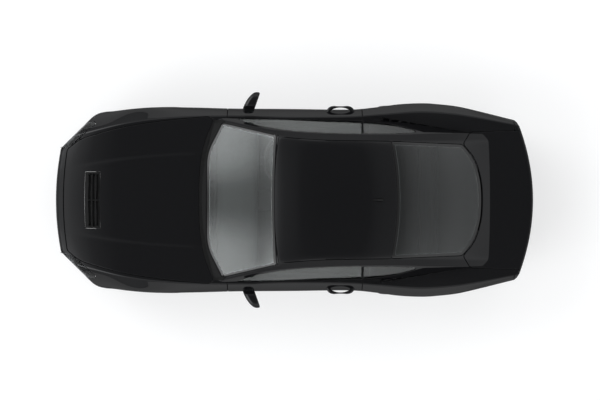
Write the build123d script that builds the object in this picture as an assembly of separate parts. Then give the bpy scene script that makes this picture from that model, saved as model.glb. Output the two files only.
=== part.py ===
from build123d import *
import math
import os

# Two-door fastback muscle car, built as separate panels, glass, running gear and cabin pieces.
# Millimetres. +X points to the rear, +Y to the car's right, +Z up. The origin is on the ground, at the
# middle of the overall length and width.

# ---------------------------------------------------------------- driving sizes
overall_length = 4810.0
wheelbase = 2720.0
front_overhang = 880.0
half_length = overall_length / 2
front_axle_x = front_overhang - half_length
rear_axle_x = front_axle_x + wheelbase

front_tread_gauge = 1552.0
rear_tread_gauge = 1640.0
front_tyre_radius = 343.0
rear_tyre_radius = 351.0
front_tyre_width = 255.0
rear_tyre_width = 275.0
rim_radius = 241.0
rim_lip_radius = 254.0
arch_radius = 402.0
front_well_inner_y = 470.0
rear_well_inner_y = 640.0
well_wall = 24.0

skin = 28.0            # thickness of a pressed panel with its inner frame
glass_inset = 4.0      # how far glass sits below the surface around it
glass_thickness = 5.0
shut_gap = 6.0         # between a door or lid and what is around it
side_trim_y = 788.0    # inner face of the doors and of the sills
sill_inner_y = 765.0
floor_z = 165.0
floor_thickness = 30.0
floor_top_z = floor_z + floor_thickness

# Lower body: one row a section, from the nose to the tail.
# x, floor edge y z, sill y z, widest y z, shoulder crease y z, centre top z
body_sections = [
    (-2460, 700, 150, 745, 215, 790, 480, 580, 690, 725),
    (-2200, 745, 150, 790, 215, 835, 520, 650, 775, 803),
    (-1950, 770, 150, 815, 215, 878, 560, 712, 832, 855),
    (-1700, 800, 155, 840, 215, 907, 650, 766, 866, 890),
    (-1338, 815, 160, 856, 215, 917, 720, 820, 893, 928),
    (-1000, 820, 165, 875, 215, 932, 630, 842, 915, 958),
    (-600, 815, 165, 868, 215, 925, 610, 848, 935, 985),
    (0, 812, 165, 862, 215, 921, 600, 832, 950, 990),
    (550, 805, 165, 856, 215, 914, 605, 838, 948, 995),
    (850, 815, 165, 860, 215, 925, 690, 860, 938, 1000),
    (1298, 845, 170, 890, 225, 950, 745, 890, 952, 1030),
    (1600, 825, 190, 868, 245, 930, 745, 870, 972, 1045),
    (1900, 780, 220, 830, 275, 882, 750, 822, 998, 1056),
    (2200, 730, 250, 775, 305, 812, 750, 764, 1020, 1068),
    (2460, 700, 270, 735, 325, 752, 750, 718, 1030, 1078),
]

# Glasshouse: one row a section, from under the bonnet to under the boot lid.
# x, belt y z, gutter y z, roof edge y z, centre top z
house_sections = [
    (-960, 832, 790, 826, 815, 800, 845, 945),
    (-702, 822, 940, 803, 958, 765, 985, 1068),
    (-420, 822, 950, 744, 1117, 702, 1152, 1203),
    (-160, 818, 955, 700, 1240, 642, 1292, 1325),
    (250, 806, 958, 668, 1295, 592, 1350, 1394),
    (650, 799, 958, 657, 1283, 588, 1335, 1380),
    (1000, 785, 965, 656, 1228, 586, 1283, 1322),
    (1450, 722, 1000, 668, 1118, 592, 1168, 1208),
    (1750, 680, 1015, 668, 1048, 598, 1082, 1122),
    (2050, 672, 960, 660, 985, 590, 1005, 1035),
]
house_base_z = 700.0

# Nose and tail outlines seen from above, and how far their faces lean back from the bumper line.
bumper_line_z = 560.0
nose_bow = 48.0
nose_half_width = 505.0
nose_corner_run = 545.0
tail_corner_x = 150.0
tail_half_width = 780.0
tail_corner_run = 155.0
nose_lean_above = 3.0
tail_lean_above = 0.5
lean_below = 7.0


# ---------------------------------------------------------------- small helpers
def prism_plan(points, z_low, z_high, radius=0.0, grow=0.0):
    """Outline seen from above, carried up from z_low to z_high."""
    path = FilletPolyline(*points, radius=radius, close=True) if radius else Polyline(*points, close=True)
    face = make_face(path)
    if grow:
        face = offset(face, amount=grow)
    return Pos(0, 0, z_low) * extrude(face, z_high - z_low)


def prism_side(points, y_low, y_high, radius=0.0, grow=0.0):
    """Outline seen from the side as (x, z), carried across from y_low to y_high."""
    path = FilletPolyline(*points, radius=radius, close=True) if radius else Polyline(*points, close=True)
    face = make_face(path)
    if grow:
        face = offset(face, amount=grow)
    return Pos(0, y_high, 0) * Rot(90, 0, 0) * extrude(face, y_high - y_low)


def block(x0, x1, y0, y1, z0, z1):
    return Pos((x0 + x1) / 2, (y0 + y1) / 2, (z0 + z1) / 2) * Box(x1 - x0, y1 - y0, z1 - z0)


def bar_y(x, z, y_low, y_high, radius):
    """Round bar along Y."""
    return Pos(x, (y_low + y_high) / 2, z) * Rot(90, 0, 0) * Cylinder(radius, y_high - y_low)


def bar_z(x, y, z_low, z_high, radius):
    return Pos(x, y, (z_low + z_high) / 2) * Cylinder(radius, z_high - z_low)


def rod(start, end, radius):
    """Round bar between two points."""
    a, b = Vector(*start), Vector(*end)
    return Solid.make_cylinder(radius, (b - a).length, Plane(origin=a, z_dir=b - a))


def left_of(shape):
    """The left-hand copy of a right-hand piece."""
    return mirror(shape, about=Plane.XZ)


def save(name, *shapes):
    """One STEP file for each sub-part."""
    solids = [s for shape in shapes for s in shape.solids()]
    piece = solids[0] if len(solids) == 1 else Compound(solids)
    export_step(piece, f"parts/{name}.step")


# ---------------------------------------------------------------- body envelope
def body_loft(inset):
    wires = []
    for x, fy, fz, sy, sz, wy, wz, cy, cz, tz in body_sections:
        floor, sill = Vector(x, fy - inset, fz + inset), Vector(x, sy - inset, sz + inset / 2)
        wide, crease = Vector(x, wy - inset, wz), Vector(x, cy - inset, cz - inset)
        other = [Vector(p.X, -p.Y, p.Z) for p in (floor, sill, wide, crease)]
        wires.append(Wire([
            Edge.make_line(other[0], floor),
            Edge.make_line(floor, sill),
            Edge.make_three_point_arc(sill, wide, crease),
            Edge.make_three_point_arc(crease, Vector(x, 0, tz - inset), other[3]),
            Edge.make_three_point_arc(other[3], other[2], other[1]),
            Edge.make_line(other[1], other[0]),
        ]))
    return Solid.make_loft(wires)


def house_loft(inset):
    wires = []
    for x, by, bz, gy, gz, ry, rz, tz in house_sections:
        base = Vector(x, by - inset + 20, house_base_z)
        belt, gutter = Vector(x, by - inset, bz), Vector(x, gy - inset, gz - inset * 0.6)
        edge = Vector(x, ry - inset, rz - inset)
        other = [Vector(p.X, -p.Y, p.Z) for p in (base, belt, gutter, edge)]
        wires.append(Wire([
            Edge.make_line(other[0], base),
            Edge.make_line(base, belt),
            Edge.make_line(belt, gutter),
            Edge.make_line(gutter, edge),
            Edge.make_three_point_arc(edge, Vector(x, 0, tz - inset), other[3]),
            Edge.make_line(other[3], other[2]),
            Edge.make_line(other[2], other[1]),
            Edge.make_line(other[1], other[0]),
        ]))
    return Solid.make_loft(wires)


def nose_and_tail(inset):
    """The two ends of the body, each leaning back above and below the bumper line."""
    end, side_y = half_length - inset, 1050 - inset / 2
    nose_y, tail_y = nose_half_width - inset / 2, tail_half_width - inset / 2
    nose_x, tail_x = -end + nose_bow, end - tail_corner_x
    nose = leaning_prism([
        Edge.make_three_point_arc(Vector(nose_x, -nose_y), Vector(-end, 0), Vector(nose_x, nose_y)),
        *polyline_edges([(nose_x, nose_y), (nose_x + nose_corner_run, side_y), (3500, side_y),
        (3500, -side_y),
                         (nose_x + nose_corner_run, -side_y), (nose_x, -nose_y)]),
    ], nose_lean_above)
    tail = leaning_prism([
        Edge.make_three_point_arc(Vector(tail_x, tail_y), Vector(end, 0), Vector(tail_x, -tail_y)),
        *polyline_edges([(tail_x, -tail_y), (tail_x - tail_corner_run, -side_y), (-3500, -side_y),
        (-3500, side_y),
                         (tail_x - tail_corner_run, side_y), (tail_x, tail_y)]),
    ], tail_lean_above)
    return nose & tail


def polyline_edges(points):
    return [Edge.make_line(Vector(*a), Vector(*b)) for a, b in zip(points, points[1:])]


def leaning_prism(edges, lean_above):
    """Prism over an outline at the bumper line, its walls leaning inwards above and below."""
    face = Pos(0, 0, bumper_line_z) * Face(Wire(edges))
    return extrude(face, 1000, taper=lean_above) + extrude(face, -bumper_line_z, taper=lean_below)


ends, ends_inside = nose_and_tail(0), nose_and_tail(skin)
lower_outside = body_loft(0) & ends
lower_inside = body_loft(skin) & ends_inside
outside = lower_outside + house_loft(0)
inside = lower_inside + house_loft(skin)
shell = outside - inside
glass_skin = house_loft(glass_inset) - house_loft(glass_inset + glass_thickness)

front_wells = bar_y(front_axle_x, front_tyre_radius, front_well_inner_y, 1200, arch_radius)
rear_wells = bar_y(rear_axle_x, rear_tyre_radius, rear_well_inner_y, 1200, arch_radius)
wells = front_wells + rear_wells
wells = wells + left_of(front_wells) + left_of(rear_wells)

# ---------------------------------------------------------------- shut lines and window outlines
bonnet_hinge_x = -822.0
bonnet_hinge_z = 920.0
bonnet_points = [
    (-2277, -505), (-2306, -280), (-2318, 0), (-2306, 280), (-2277, 505),
    (-2150, 610), (-1732, 735), (-1227, 806), (-850, 836), (-802, 806),
    (-905, 560), (-945, 300), (-950, 0), (-945, -300), (-905, -560),
    (-802, -806), (-850, -836), (-1227, -806), (-1732, -735), (-2150, -610),
]
vent_points = [(-2096, -285), (-2105, 0), (-2096, 285), (-1940, 285), (-1955, 0), (-1940, -285)]
boot_points = [
    (1702, 560), (1775, 677), (2050, 690), (2500, 690), (2500, -690), (2050, -690), (1775, -677),
    (1702, -560),
    (1822, -420), (1885, -220), (1899, 0), (1885, 220), (1822, 420),
]
boot_hinge_x = 1716.0
boot_hinge_z = 1080.0
boot_face_half_width = 430.0
boot_face_z = 830.0
boot_edge_z = 985.0
windscreen_points = [
    (-868, -400), (-868, 400), (-840, 520), (-712, 770), (-690, 774), (-167, 650), (-182, 330),
    (-187, 0), (-182, -330), (-167, -650), (-690, -774), (-712, -770), (-840, -520),
]
cowl_points = [
    (-1000, 600), (-836, 806), (-704, 806), (-680, 774), (-680, -774), (-704, -806), (-836, -806),
    (-1000, -600),
]
rear_window_points = [
    (975, -583), (1020, -300), (1035, 0), (1020, 300), (975, 583), (1690, 556), (1808, 412), (1872, 215),
    (1886, 0), (1872, -215), (1808, -412), (1690, -556),
]
roof_points = [
    (-140, 628), (-182, 330), (-187, 0), (-182, -330), (-140, -628), (250, -592), (650, -588),
    (975, -583), (1020, -300), (1035, 0), (1020, 300), (975, 583), (650, 588), (250, 592),
]

door_front_x = -660.0
door_rear_x = 690.0
door_base_z = 236.0
door_flange = 14.0     # how far the outer panel laps past the inner box of the door
door_points = [
    (door_front_x, 950), (door_front_x, door_base_z), (540, door_base_z),
    (640, 420), (door_rear_x, 700), (door_rear_x, 966), (0, 960),
]
door_window_points = [
    (-560, 951.5), (-395, 1092), (-150, 1215), (50, 1262), (300, 1283), (door_rear_x - 8, 1266),
    (door_rear_x - 8, 966), (0, 960),
]
quarter_window_points = [
    (door_rear_x + 12, 975), (door_rear_x + 12, 1258), (950, 1218), (1215, 1150), (1225, 1112), (1000, 1020),
]
hinge_x = -610.0
hinge_y = 905.0
hinge_heights = (520.0, 700.0)
hinge_reach = hinge_x - door_front_x
hinge_pin_radius = 6.7
hinge_bore_radius = 7.0

nose_seam_x = -2150.0
tail_seam_x = 2215.0
sill_top_z = 228.0
cowl_block = prism_plan(cowl_points, 850, 1100)
wing_rear_x = door_front_x - shut_gap
right_half = block(-2500, 2500, 0.2, 1200, 0, 1500)
lid_pin_radius = 5.0
lid_bore_radius = 5.3
bonnet_pin = bar_y(bonnet_hinge_x, bonnet_hinge_z, 792, 830, lid_pin_radius)
bonnet_bore = bar_y(bonnet_hinge_x, bonnet_hinge_z, 780, 840, lid_bore_radius)
boot_pin = bar_y(boot_hinge_x, boot_hinge_z, 560, 600, lid_pin_radius)
boot_bore = bar_y(boot_hinge_x, boot_hinge_z, 540, 620, lid_bore_radius)
bonnet_opening = prism_plan(bonnet_points, 600, 1300, grow=shut_gap)
bonnet_opening = bonnet_opening + bar_y(bonnet_hinge_x, bonnet_hinge_z, -815, 815, 31)
boot_opening = prism_plan(boot_points, 960, 1300, grow=shut_gap)
boot_opening = boot_opening + bar_y(boot_hinge_x, boot_hinge_z, -588, 588, 30)
boot_face_opening = block(
    2200, 2500, -boot_face_half_width - shut_gap, boot_face_half_width + shut_gap, boot_face_z - shut_gap,
    1200)
swing_gap = 5.0
bonnet_corner = prism_plan(bonnet_points, 905, 960, grow=swing_gap) & block(-960, -780, 560, 830, 900, 965)
bonnet_axis = Axis((bonnet_hinge_x, 0, bonnet_hinge_z), (0, 1, 0))
bonnet_swing = [bonnet_corner.rotate(bonnet_axis, angle) for angle in (8, 18, 30, 42, 56)]
boot_corner = prism_plan(boot_points, 1060, 1105, grow=swing_gap) & block(1690, 1800, 400, 640, 1055, 1110)
boot_axis = Axis((boot_hinge_x, 0, boot_hinge_z), (0, -1, 0))
boot_swing = [boot_corner.rotate(boot_axis, angle) for angle in (20, 38, 56, 66, 76)]
door_opening = prism_side(door_points, 700, 1100, grow=shut_gap)
door_window_opening = prism_side(door_window_points, 600, 1100, grow=shut_gap)
windscreen_opening = prism_plan(windscreen_points, 850, 1400)
rear_window_opening = prism_plan(rear_window_points, 1000, 1400)


# ---------------------------------------------------------------- lamps, intakes and towing sockets
upper_intake = block(-2500, -2280, -470, 470, 560, 700)
lower_intake = block(-2500, -2280, -400, 400, 235, 330)
lamp_points = [(-2500, 516), (-2330, 516), (-2262, 548), (-2150, 622), (-1995, 768), (-2050, 900),
    (-2500, 900)]
lamp_side_points = [(-2500, 612), (-2300, 612), (-1960, 745), (-1960, 900), (-2500, 900)]
lamp_pocket = prism_plan(lamp_points, 600, 900) & prism_side(lamp_side_points, 400, 1000)
lamp_pockets = [lamp_pocket, left_of(lamp_pocket)]
tail_lamp_width = 60.0
tail_lamp_rows = (470.0, 555.0, 640.0)
tail_lamp_pockets = [
    block(2250, 2500, side * y - tail_lamp_width / 2, side * y + tail_lamp_width / 2, 850, 960)
    for side in (1, -1) for y in tail_lamp_rows]
plate_half_width = 260.0
plate_z = (605.0, 716.0)
plate_seat_x = 2372.0
tow_socket_radius = 8.0
tow_boss_radius = 24.0
tow_y = 250.0          # to the right of the middle at the front, to the left at the rear
tow_z = 430.0
tow_socket_mouth_x = 2362.0
tow_socket_end_x = 2302.0
tow_recess_radius = 20.0
exhaust_y = 560.0
exhaust_z = 245.0
exhaust_tip_radius = 45.0
exhaust_tip_x = 2308.0


def tow_boss(end):
    """Boss behind the bumper skin for a screw-in towing eye, at the front (end = -1) or rear (end = 1)."""
    y = -end * tow_y
    return rod((end * (tow_socket_mouth_x - 2), y, tow_z), (end * (tow_socket_end_x - 15), y, tow_z),
        tow_boss_radius)


def tow_socket(end):
    """The threaded hole and the flat-bottomed recess round its mouth."""
    y = -end * tow_y
    hole = rod((end * 2500, y, tow_z), (end * tow_socket_end_x, y, tow_z), tow_socket_radius)
    return hole + rod((end * 2500, y, tow_z), (end * tow_socket_mouth_x, y, tow_z), tow_recess_radius)


# ---------------------------------------------------------------- outer panels
def largest(shape):
    return max(shape.solids(), key=lambda s: s.volume)


def make_bonnet():
    panel = (shell & prism_plan(bonnet_points, 640, 1100)) - prism_plan(vent_points, 600, 1200)
    return largest(panel - [bonnet_bore, left_of(bonnet_bore)])


def make_bonnet_vent():
    """Louvred outlet: a frame with three slots either side of a middle rib."""
    frame = (lower_outside - body_loft(12)) & prism_plan(vent_points, 700, 1000, grow=-0.3)
    slots = []
    for k in range(3):
        x = -2045 + 36 * k
        for side in (1, -1):
            slots.append(prism_plan(
                [(x - 9, side * 8), (x, side * 264), (x + 20, side * 264), (x + 11, side * 8)], 700, 1000))
    return frame - slots


def make_boot_lid():
    region = prism_plan(boot_points, boot_edge_z, 1300)
    region = region + block(2200, 2500, -boot_face_half_width, boot_face_half_width, boot_face_z, 1200)
    return largest((shell & region) - [boot_bore, left_of(boot_bore)])


def make_roof():
    return shell & prism_plan(roof_points, 1200, 1500)


def make_windscreen():
    return glass_skin & windscreen_opening


def make_rear_window():
    pane = glass_skin & rear_window_opening
    return pane - (boot_swing + [left_of(region) for region in boot_swing])


door_handle = prism_plan([(346, 850), (364, 950), (588, 950), (606, 850)], 766, 788)
door_handle = door_handle - prism_plan([(362, 840), (377, 937), (575, 937), (590, 840)], 760, 794)


def make_door():
    """Right door: an outer panel that laps past a deep inner box, with pockets and bores for its hinges."""
    panel = shell & prism_side(door_points, 700, 1100)
    box = outside & prism_side(door_points, side_trim_y, 1100, grow=-door_flange)
    nose = block(door_front_x - 40, hinge_x, hinge_y, 1000, 200, 1000)
    door = panel + box - (nose - bar_z(hinge_x, hinge_y, 100, 1100, hinge_reach))
    door = door + (door_handle - outside)
    for z in hinge_heights:
        door = door - block(door_front_x - 40, hinge_x + 20, side_trim_y - 5, hinge_y + 9, z - 30, z + 30)
        door = door - bar_z(hinge_x, hinge_y, z - 60, z + 60, hinge_bore_radius)
    return door


def make_door_glass():
    return glass_skin & prism_side(door_window_points, 600, 1000, grow=-0.3)


def make_quarter_glass():
    pane = glass_skin & prism_side(quarter_window_points, 600, 1000)
    return Compound([pane, left_of(pane)])


def make_mirror():
    """Right door mirror: a rounded shell on an arm that widens towards the door."""
    housing = Box(112, 146, 112)
    housing = Pos(-398, 1000, 998) * Rot(0, 0, -14) * fillet(housing.edges(), 34)
    arm = prism_plan([(-510, 810), (-372, 810), (-380, 960), (-440, 960)], 940, 966)
    return (housing + arm) - outside


def make_side_frame():
    """Right body side: sill, hinge post, roof rail, pillars and rear quarter in one piece."""
    skin_part = shell & block(-960, tail_seam_x, 0.2, 1100, sill_top_z, 1500)
    skin_part = skin_part - [block(-1000, wing_rear_x, 0, 1100, 0, 938), wells, cowl_block,
                             block(790, 2300, 0, 700, 0, 420)]
    sill = outside & block(-1115, 785, sill_inner_y, 1000, floor_z, sill_top_z)
    post = block(-735, wing_rear_x, side_trim_y, 822, sill_top_z, 870)
    jamb = inside & block(door_rear_x + 8, 800, sill_inner_y, 1000, sill_top_z, 950)
    jamb = jamb - bar_y(rear_axle_x, rear_tyre_radius, 600, 1200, arch_radius + well_wall + 0.3)
    frame = skin_part + sill + post + jamb
    frame = frame - [
        door_opening, door_window_opening, prism_side(quarter_window_points, 600, 1100), bonnet_opening,
        boot_opening, windscreen_opening, rear_window_opening, prism_plan(roof_points, 900, 1500),
        *boot_swing]
    frame = largest(frame)
    for z in hinge_heights:
        arm = block(-720, hinge_x + 8, 818, 852, z - 20, z + 20)
        arm = arm + block(hinge_x - 8, hinge_x + 8, 835, hinge_y, z - 20, z + 20)
        frame = frame + arm + bar_z(hinge_x, hinge_y, z - 55, z + 55, hinge_pin_radius)
    return frame + boot_pin


def make_front_wing():
    """Right front wing, from the nose to the door."""
    wing = shell & block(nose_seam_x, wing_rear_x, 400, 1100, sill_top_z, 937)
    wing = largest(wing - [bonnet_opening, wells, cowl_block, lamp_pocket])
    return wing + bonnet_pin


def make_front_bumper():
    cover = shell & block(-2500, nose_seam_x, -1100, 1100, 0, 1000)
    cover = largest(cover - [bonnet_opening, wells, upper_intake, lower_intake, *lamp_pockets])
    return cover + tow_boss(-1) - tow_socket(-1)


def make_rear_bumper():
    cover = shell & block(tail_seam_x, 2500, -1100, 1100, 0, 1200)
    notches = [block(2200, 2500, side * exhaust_y - 54, side * exhaust_y + 54, 0,
        exhaust_z + 54) for side in (1, -1)]
    plate = block(plate_seat_x, 2500, -plate_half_width - 3, plate_half_width + 3, plate_z[0] - 3,
        plate_z[1] + 3)
    cover = largest(cover - [boot_opening, boot_face_opening, plate, *tail_lamp_pockets, *notches])
    return cover + tow_boss(1) - tow_socket(1)


def make_cowl():
    swing = bonnet_swing + [left_of(region) for region in bonnet_swing]
    return largest((shell & cowl_block) - [bonnet_opening, windscreen_opening, *swing])


def make_grille():
    """Framed bars behind both intakes, each bar curved with the nose."""
    layer = body_and_ends(14) - body_and_ends(26)
    net = layer & (upper_intake + lower_intake)
    holes = []
    for z0, z1, rows in ((568, 692, 4), (243, 322, 3)):
        pitch = (z1 - z0) / rows
        for k in range(rows):
            for j in range(9):
                y = -440 + 97.8 * j
                holes.append(block(-2500, -2250, y, y + 86, z0 + pitch * k + 4, z0 + pitch * (k + 1) - 4))
    return net - holes


def body_and_ends(inset):
    return body_loft(inset) & nose_and_tail(inset)


def make_headlamps():
    return Compound([largest(shell & pocket) for pocket in lamp_pockets])


def make_tail_lamps():
    return Compound([largest(shell & pocket) for pocket in tail_lamp_pockets])


def make_number_plate():
    return block(plate_seat_x, plate_seat_x + 4, -plate_half_width, plate_half_width, *plate_z)


def make_fin():
    side = [(762, 1300), (894, 1300), (894, 1372), (880, 1392), (862, 1390), (800, 1366)]
    return (prism_side(side, -40, 40) & Pos(828, 0, 1300) * Cylinder(75, 300)) - outside


# ---------------------------------------------------------------- wheels
hub_bore_radius = 32.3
hub_pin_radius = 32.0
disc_radius = 178.0
disc_thickness = 28.0
spoke_pairs = 5
wheels = {
    "front": (front_axle_x, front_tread_gauge / 2, front_tyre_radius, front_tyre_width),
    "rear": (rear_axle_x, rear_tread_gauge / 2, rear_tyre_radius, rear_tyre_width),
}


def lathe_y(points, x, y, z):
    """Turn an outline of (radius, y) about the wheel's axle."""
    face = make_face(Polyline(*points, close=True))
    return Pos(x, y, z) * revolve(face, Axis.Y)


def make_tyre(x, y, radius, width):
    half = width / 2
    seat = rim_radius + 0.3
    return lathe_y([
        (seat, -half + 22), (rim_lip_radius + 8, -half + 4), (radius - 52, -half), (radius - 14, -half + 12),
        (radius - 3, -half + 34), (radius, 0), (radius - 3, half - 34), (radius - 14, half - 12),
        (radius - 52, half), (rim_lip_radius + 8, half - 4), (seat, half - 22)], x, y, radius)


def make_rim(x, y, radius, width):
    """Rim barrel, hub, paired spokes and the brake disc with its hat."""
    half = width / 2
    barrel = lathe_y([
        (rim_lip_radius, -half + 2), (rim_lip_radius, -half + 8), (rim_radius, -half + 22),
        (rim_radius, half - 22), (rim_lip_radius, half - 8), (rim_lip_radius, half - 2),
        (rim_radius - 12, half - 6), (rim_radius - 14, -half + 6)], 0, 0, 0)
    hub = lathe_y([
        (hub_bore_radius, half - 95), (70, half - 95), (74, half - 60), (60, half - 38), (30, half - 34),
        (0, half - 34),
        (0, half - 48), (hub_bore_radius, half - 48)], 0, 0, 0)
    disc = lathe_y([
        (hub_bore_radius, half - 95), (hub_bore_radius, half - 115), (90, half - 115), (90, half - 150),
        (disc_radius, half - 150), (disc_radius, half - 150 + disc_thickness),
        (104, half - 150 + disc_thickness),
        (104, half - 95)], 0, 0, 0)
    rim = barrel + hub + disc
    for k in range(spoke_pairs):
        for side in (-1, 1):
            outline = [(side * 10, 50), (side * 34, 52), (side * 62, 232), (side * 30, 232)]
            spoke = Pos(0, half - 66, 0) * Rot(90, 0, 0) * Pos(0, 0, -38) * extrude(
                make_face(Polyline(*outline, close=True)), 38)
            rim = rim + Rot(0, 360 / spoke_pairs * k, 0) * spoke
    return Pos(x, y, radius) * rim


# ---------------------------------------------------------------- running gear
tunnel_half_width = 140.0
tunnel_top_z = 330.0
boot_floor_z = 420.0
floor_line = [(-1112, floor_z), (790, floor_z), (880, 305), (1300, boot_floor_z), (2190, boot_floor_z),
    (2190, 450),
              (1290, 450), (865, 335), (780, floor_top_z), (-1112, floor_top_z)]
floor_band = prism_side(floor_line, -rear_well_inner_y + well_wall, rear_well_inner_y - well_wall)
jack_point_xs = (-950.0, 650.0)
jack_point_y = 730.0
jack_point_z = 155.0
ball_joint = (front_axle_x, 720.0, 200.0)
kingpin_lean = 145.0 / 630.0
ball_radius = 14.0
tower_radius = 60.0
tower_top_z = 828.0


def kingpin(z):
    """Point on the right front steering axis at a height."""
    return (ball_joint[0], ball_joint[1] - kingpin_lean * (z - ball_joint[2]), z)


def make_knuckle():
    """Right front upright with its hub pin, strut, brake caliper and steering arm."""
    x, y, radius, width = wheels["front"]
    half = width / 2
    pin_end = y + half - 50
    hub_face = y + half - 156
    pin = bar_y(x, radius, 628, pin_end, hub_pin_radius)
    carrier = bar_y(x, radius, 624, hub_face - 6, 62)
    leg = block(x - 26, x + 26, 640, hub_face - 6, 214, radius)
    post = rod((x, 630, 300), (x, 618, 706), 24) + rod(kingpin(700), kingpin(tower_top_z - 0.4), 14)
    spring = rod(kingpin(705), kingpin(tower_top_z - 16), 48)
    toe = block(x - 26, x + 26, 700, ball_joint[1] + 16, 214, 240) + leg
    stud = rod(kingpin(182), kingpin(236), ball_radius)
    arm = block(x, x + 120, 630, 652, 250, 280)
    caliper = bar_y(x, radius, y + half - 172, y + half - 100, disc_radius + 24)
    caliper = caliper - bar_y(x, radius, y + half - 200, y + half, 112)
    caliper = caliper - bar_y(x, radius, y + half - 156, y + half - 116, disc_radius + 6)
    caliper = caliper & prism_side([(x + 40, radius - 60), (x + 260, radius - 110), (x + 260, radius + 110),
                                    (x + 40, radius + 60)], 500, 1000)
    bracket = block(x + 50, x + 150, y + half - 190, y + half - 168, radius - 30, radius + 30)
    return pin + carrier + post + spring + toe + stud + arm + caliper + bracket


def make_front_subframe():
    """Cross member, its two rails and the lower arms out to the ball joints."""
    x = front_axle_x
    beam = block(x - 90, x + 90, -420, 420, 205, 265)
    rails = [block(x - 620, x + 420, s * 430 - 32, s * 430 + 32, 265, 330) for s in (1, -1)]
    frame = beam + rails[0] + rails[1]
    for s in (1, -1):
        end_y = ball_joint[1] * s
        points = [(x - 60, 420 * s), (x + 200, 420 * s), (x + 60, 600 * s), (x + 28, end_y), (x - 28, end_y),
                  (x - 30, 600 * s)]
        arm = prism_plan(points, 186, 206)
        arm = arm + bar_z(x, end_y, 182, 206, 28)
        frame = frame + arm
    bore = rod(kingpin(160), kingpin(230), ball_radius + 0.3)
    return frame - [bore, left_of(bore)]


def make_rear_axle():
    """Subframe, final drive, half shafts, arms, hub carriers, hub pins and calipers."""
    x, y, radius, width = wheels["rear"]
    half = width / 2
    frame = block(x - 260, x - 200, -480, 480, 250, 300) + block(x + 200, x + 250, -480, 480, 250, 300)
    for s in (1, -1):
        frame = frame + block(x - 260, x + 250, s * 430 - 25, s * 430 + 25, 250, 300)
    frame = frame + (Pos(x, 0, 285) * Sphere(95)) + block(x - 200, x + 205, -60, 60, 262, 290)
    frame = frame + bar_y(x, radius, -620, 620, 24) + rod((-698, 0, 250), (x - 60, 0, 264), 28)
    for s in (1, -1):
        frame = frame + bar_y(x, radius, min(s * 600, s * (y + half - 50)), max(s * 600, s * (y + half - 50)),
                              hub_pin_radius)
        frame = frame + bar_y(x, radius, min(s * 620, s * (y + half - 162)),
            max(s * 620, s * (y + half - 162)), 66)
        mounts = [bar_z(x - 230, s * 430, 300, 350, 26), bar_z(x + 225, s * 430, 300, boot_floor_z, 26)]
        frame = frame + (mounts[0] - floor_band) + mounts[1]
        arm = prism_plan([(x - 180, 430 * s), (x + 180, 430 * s), (x + 50, 650 * s), (x - 50, 650 * s)],
            255, 280)
        frame = frame + arm + block(x - 40, x + 40, min(620 * s, 650 * s), max(620 * s, 650 * s), 255, radius)
    return frame


def make_engine():
    """Engine as one plain block with its gearbox."""
    return block(-1880, -1150, -300, 300, 265, 800) + block(-1150, -700, -48, 48, 190, 300)


def make_exhaust():
    pipes = []
    for s in (1, -1):
        path = FilletPolyline((-1149.5, 82 * s, 215), (950, 82 * s, 215), (1075, 330 * s, 215),
                              (1600, 330 * s, 215), (1760, exhaust_y * s, 235),
                              (1900, exhaust_y * s, exhaust_z),
                              radius=60)
        pipe = sweep(Plane(path @ 0, z_dir=path % 0) * Circle(30), path=path)
        box = fillet(Box(260, 200, 110).edges().filter_by(Axis.X), 40)
        box = Pos(2020, exhaust_y * s, exhaust_z + 5) * box
        tip = rod((2120, exhaust_y * s, exhaust_z), (exhaust_tip_x, exhaust_y * s, exhaust_z),
            exhaust_tip_radius)
        hanger = bar_z(2020, exhaust_y * s, exhaust_z + 50, boot_floor_z, 7)
        pipes.append(pipe + box + tip + hanger)
    return Compound([p for pipe in pipes for p in pipe.solids()])


# ---------------------------------------------------------------- floor and cabin
wheel_centre = Vector(-205, 400, 860)
column_tilt = 25.0
column_axis = Vector(math.cos(math.radians(column_tilt)), 0, math.sin(math.radians(column_tilt)))


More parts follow.
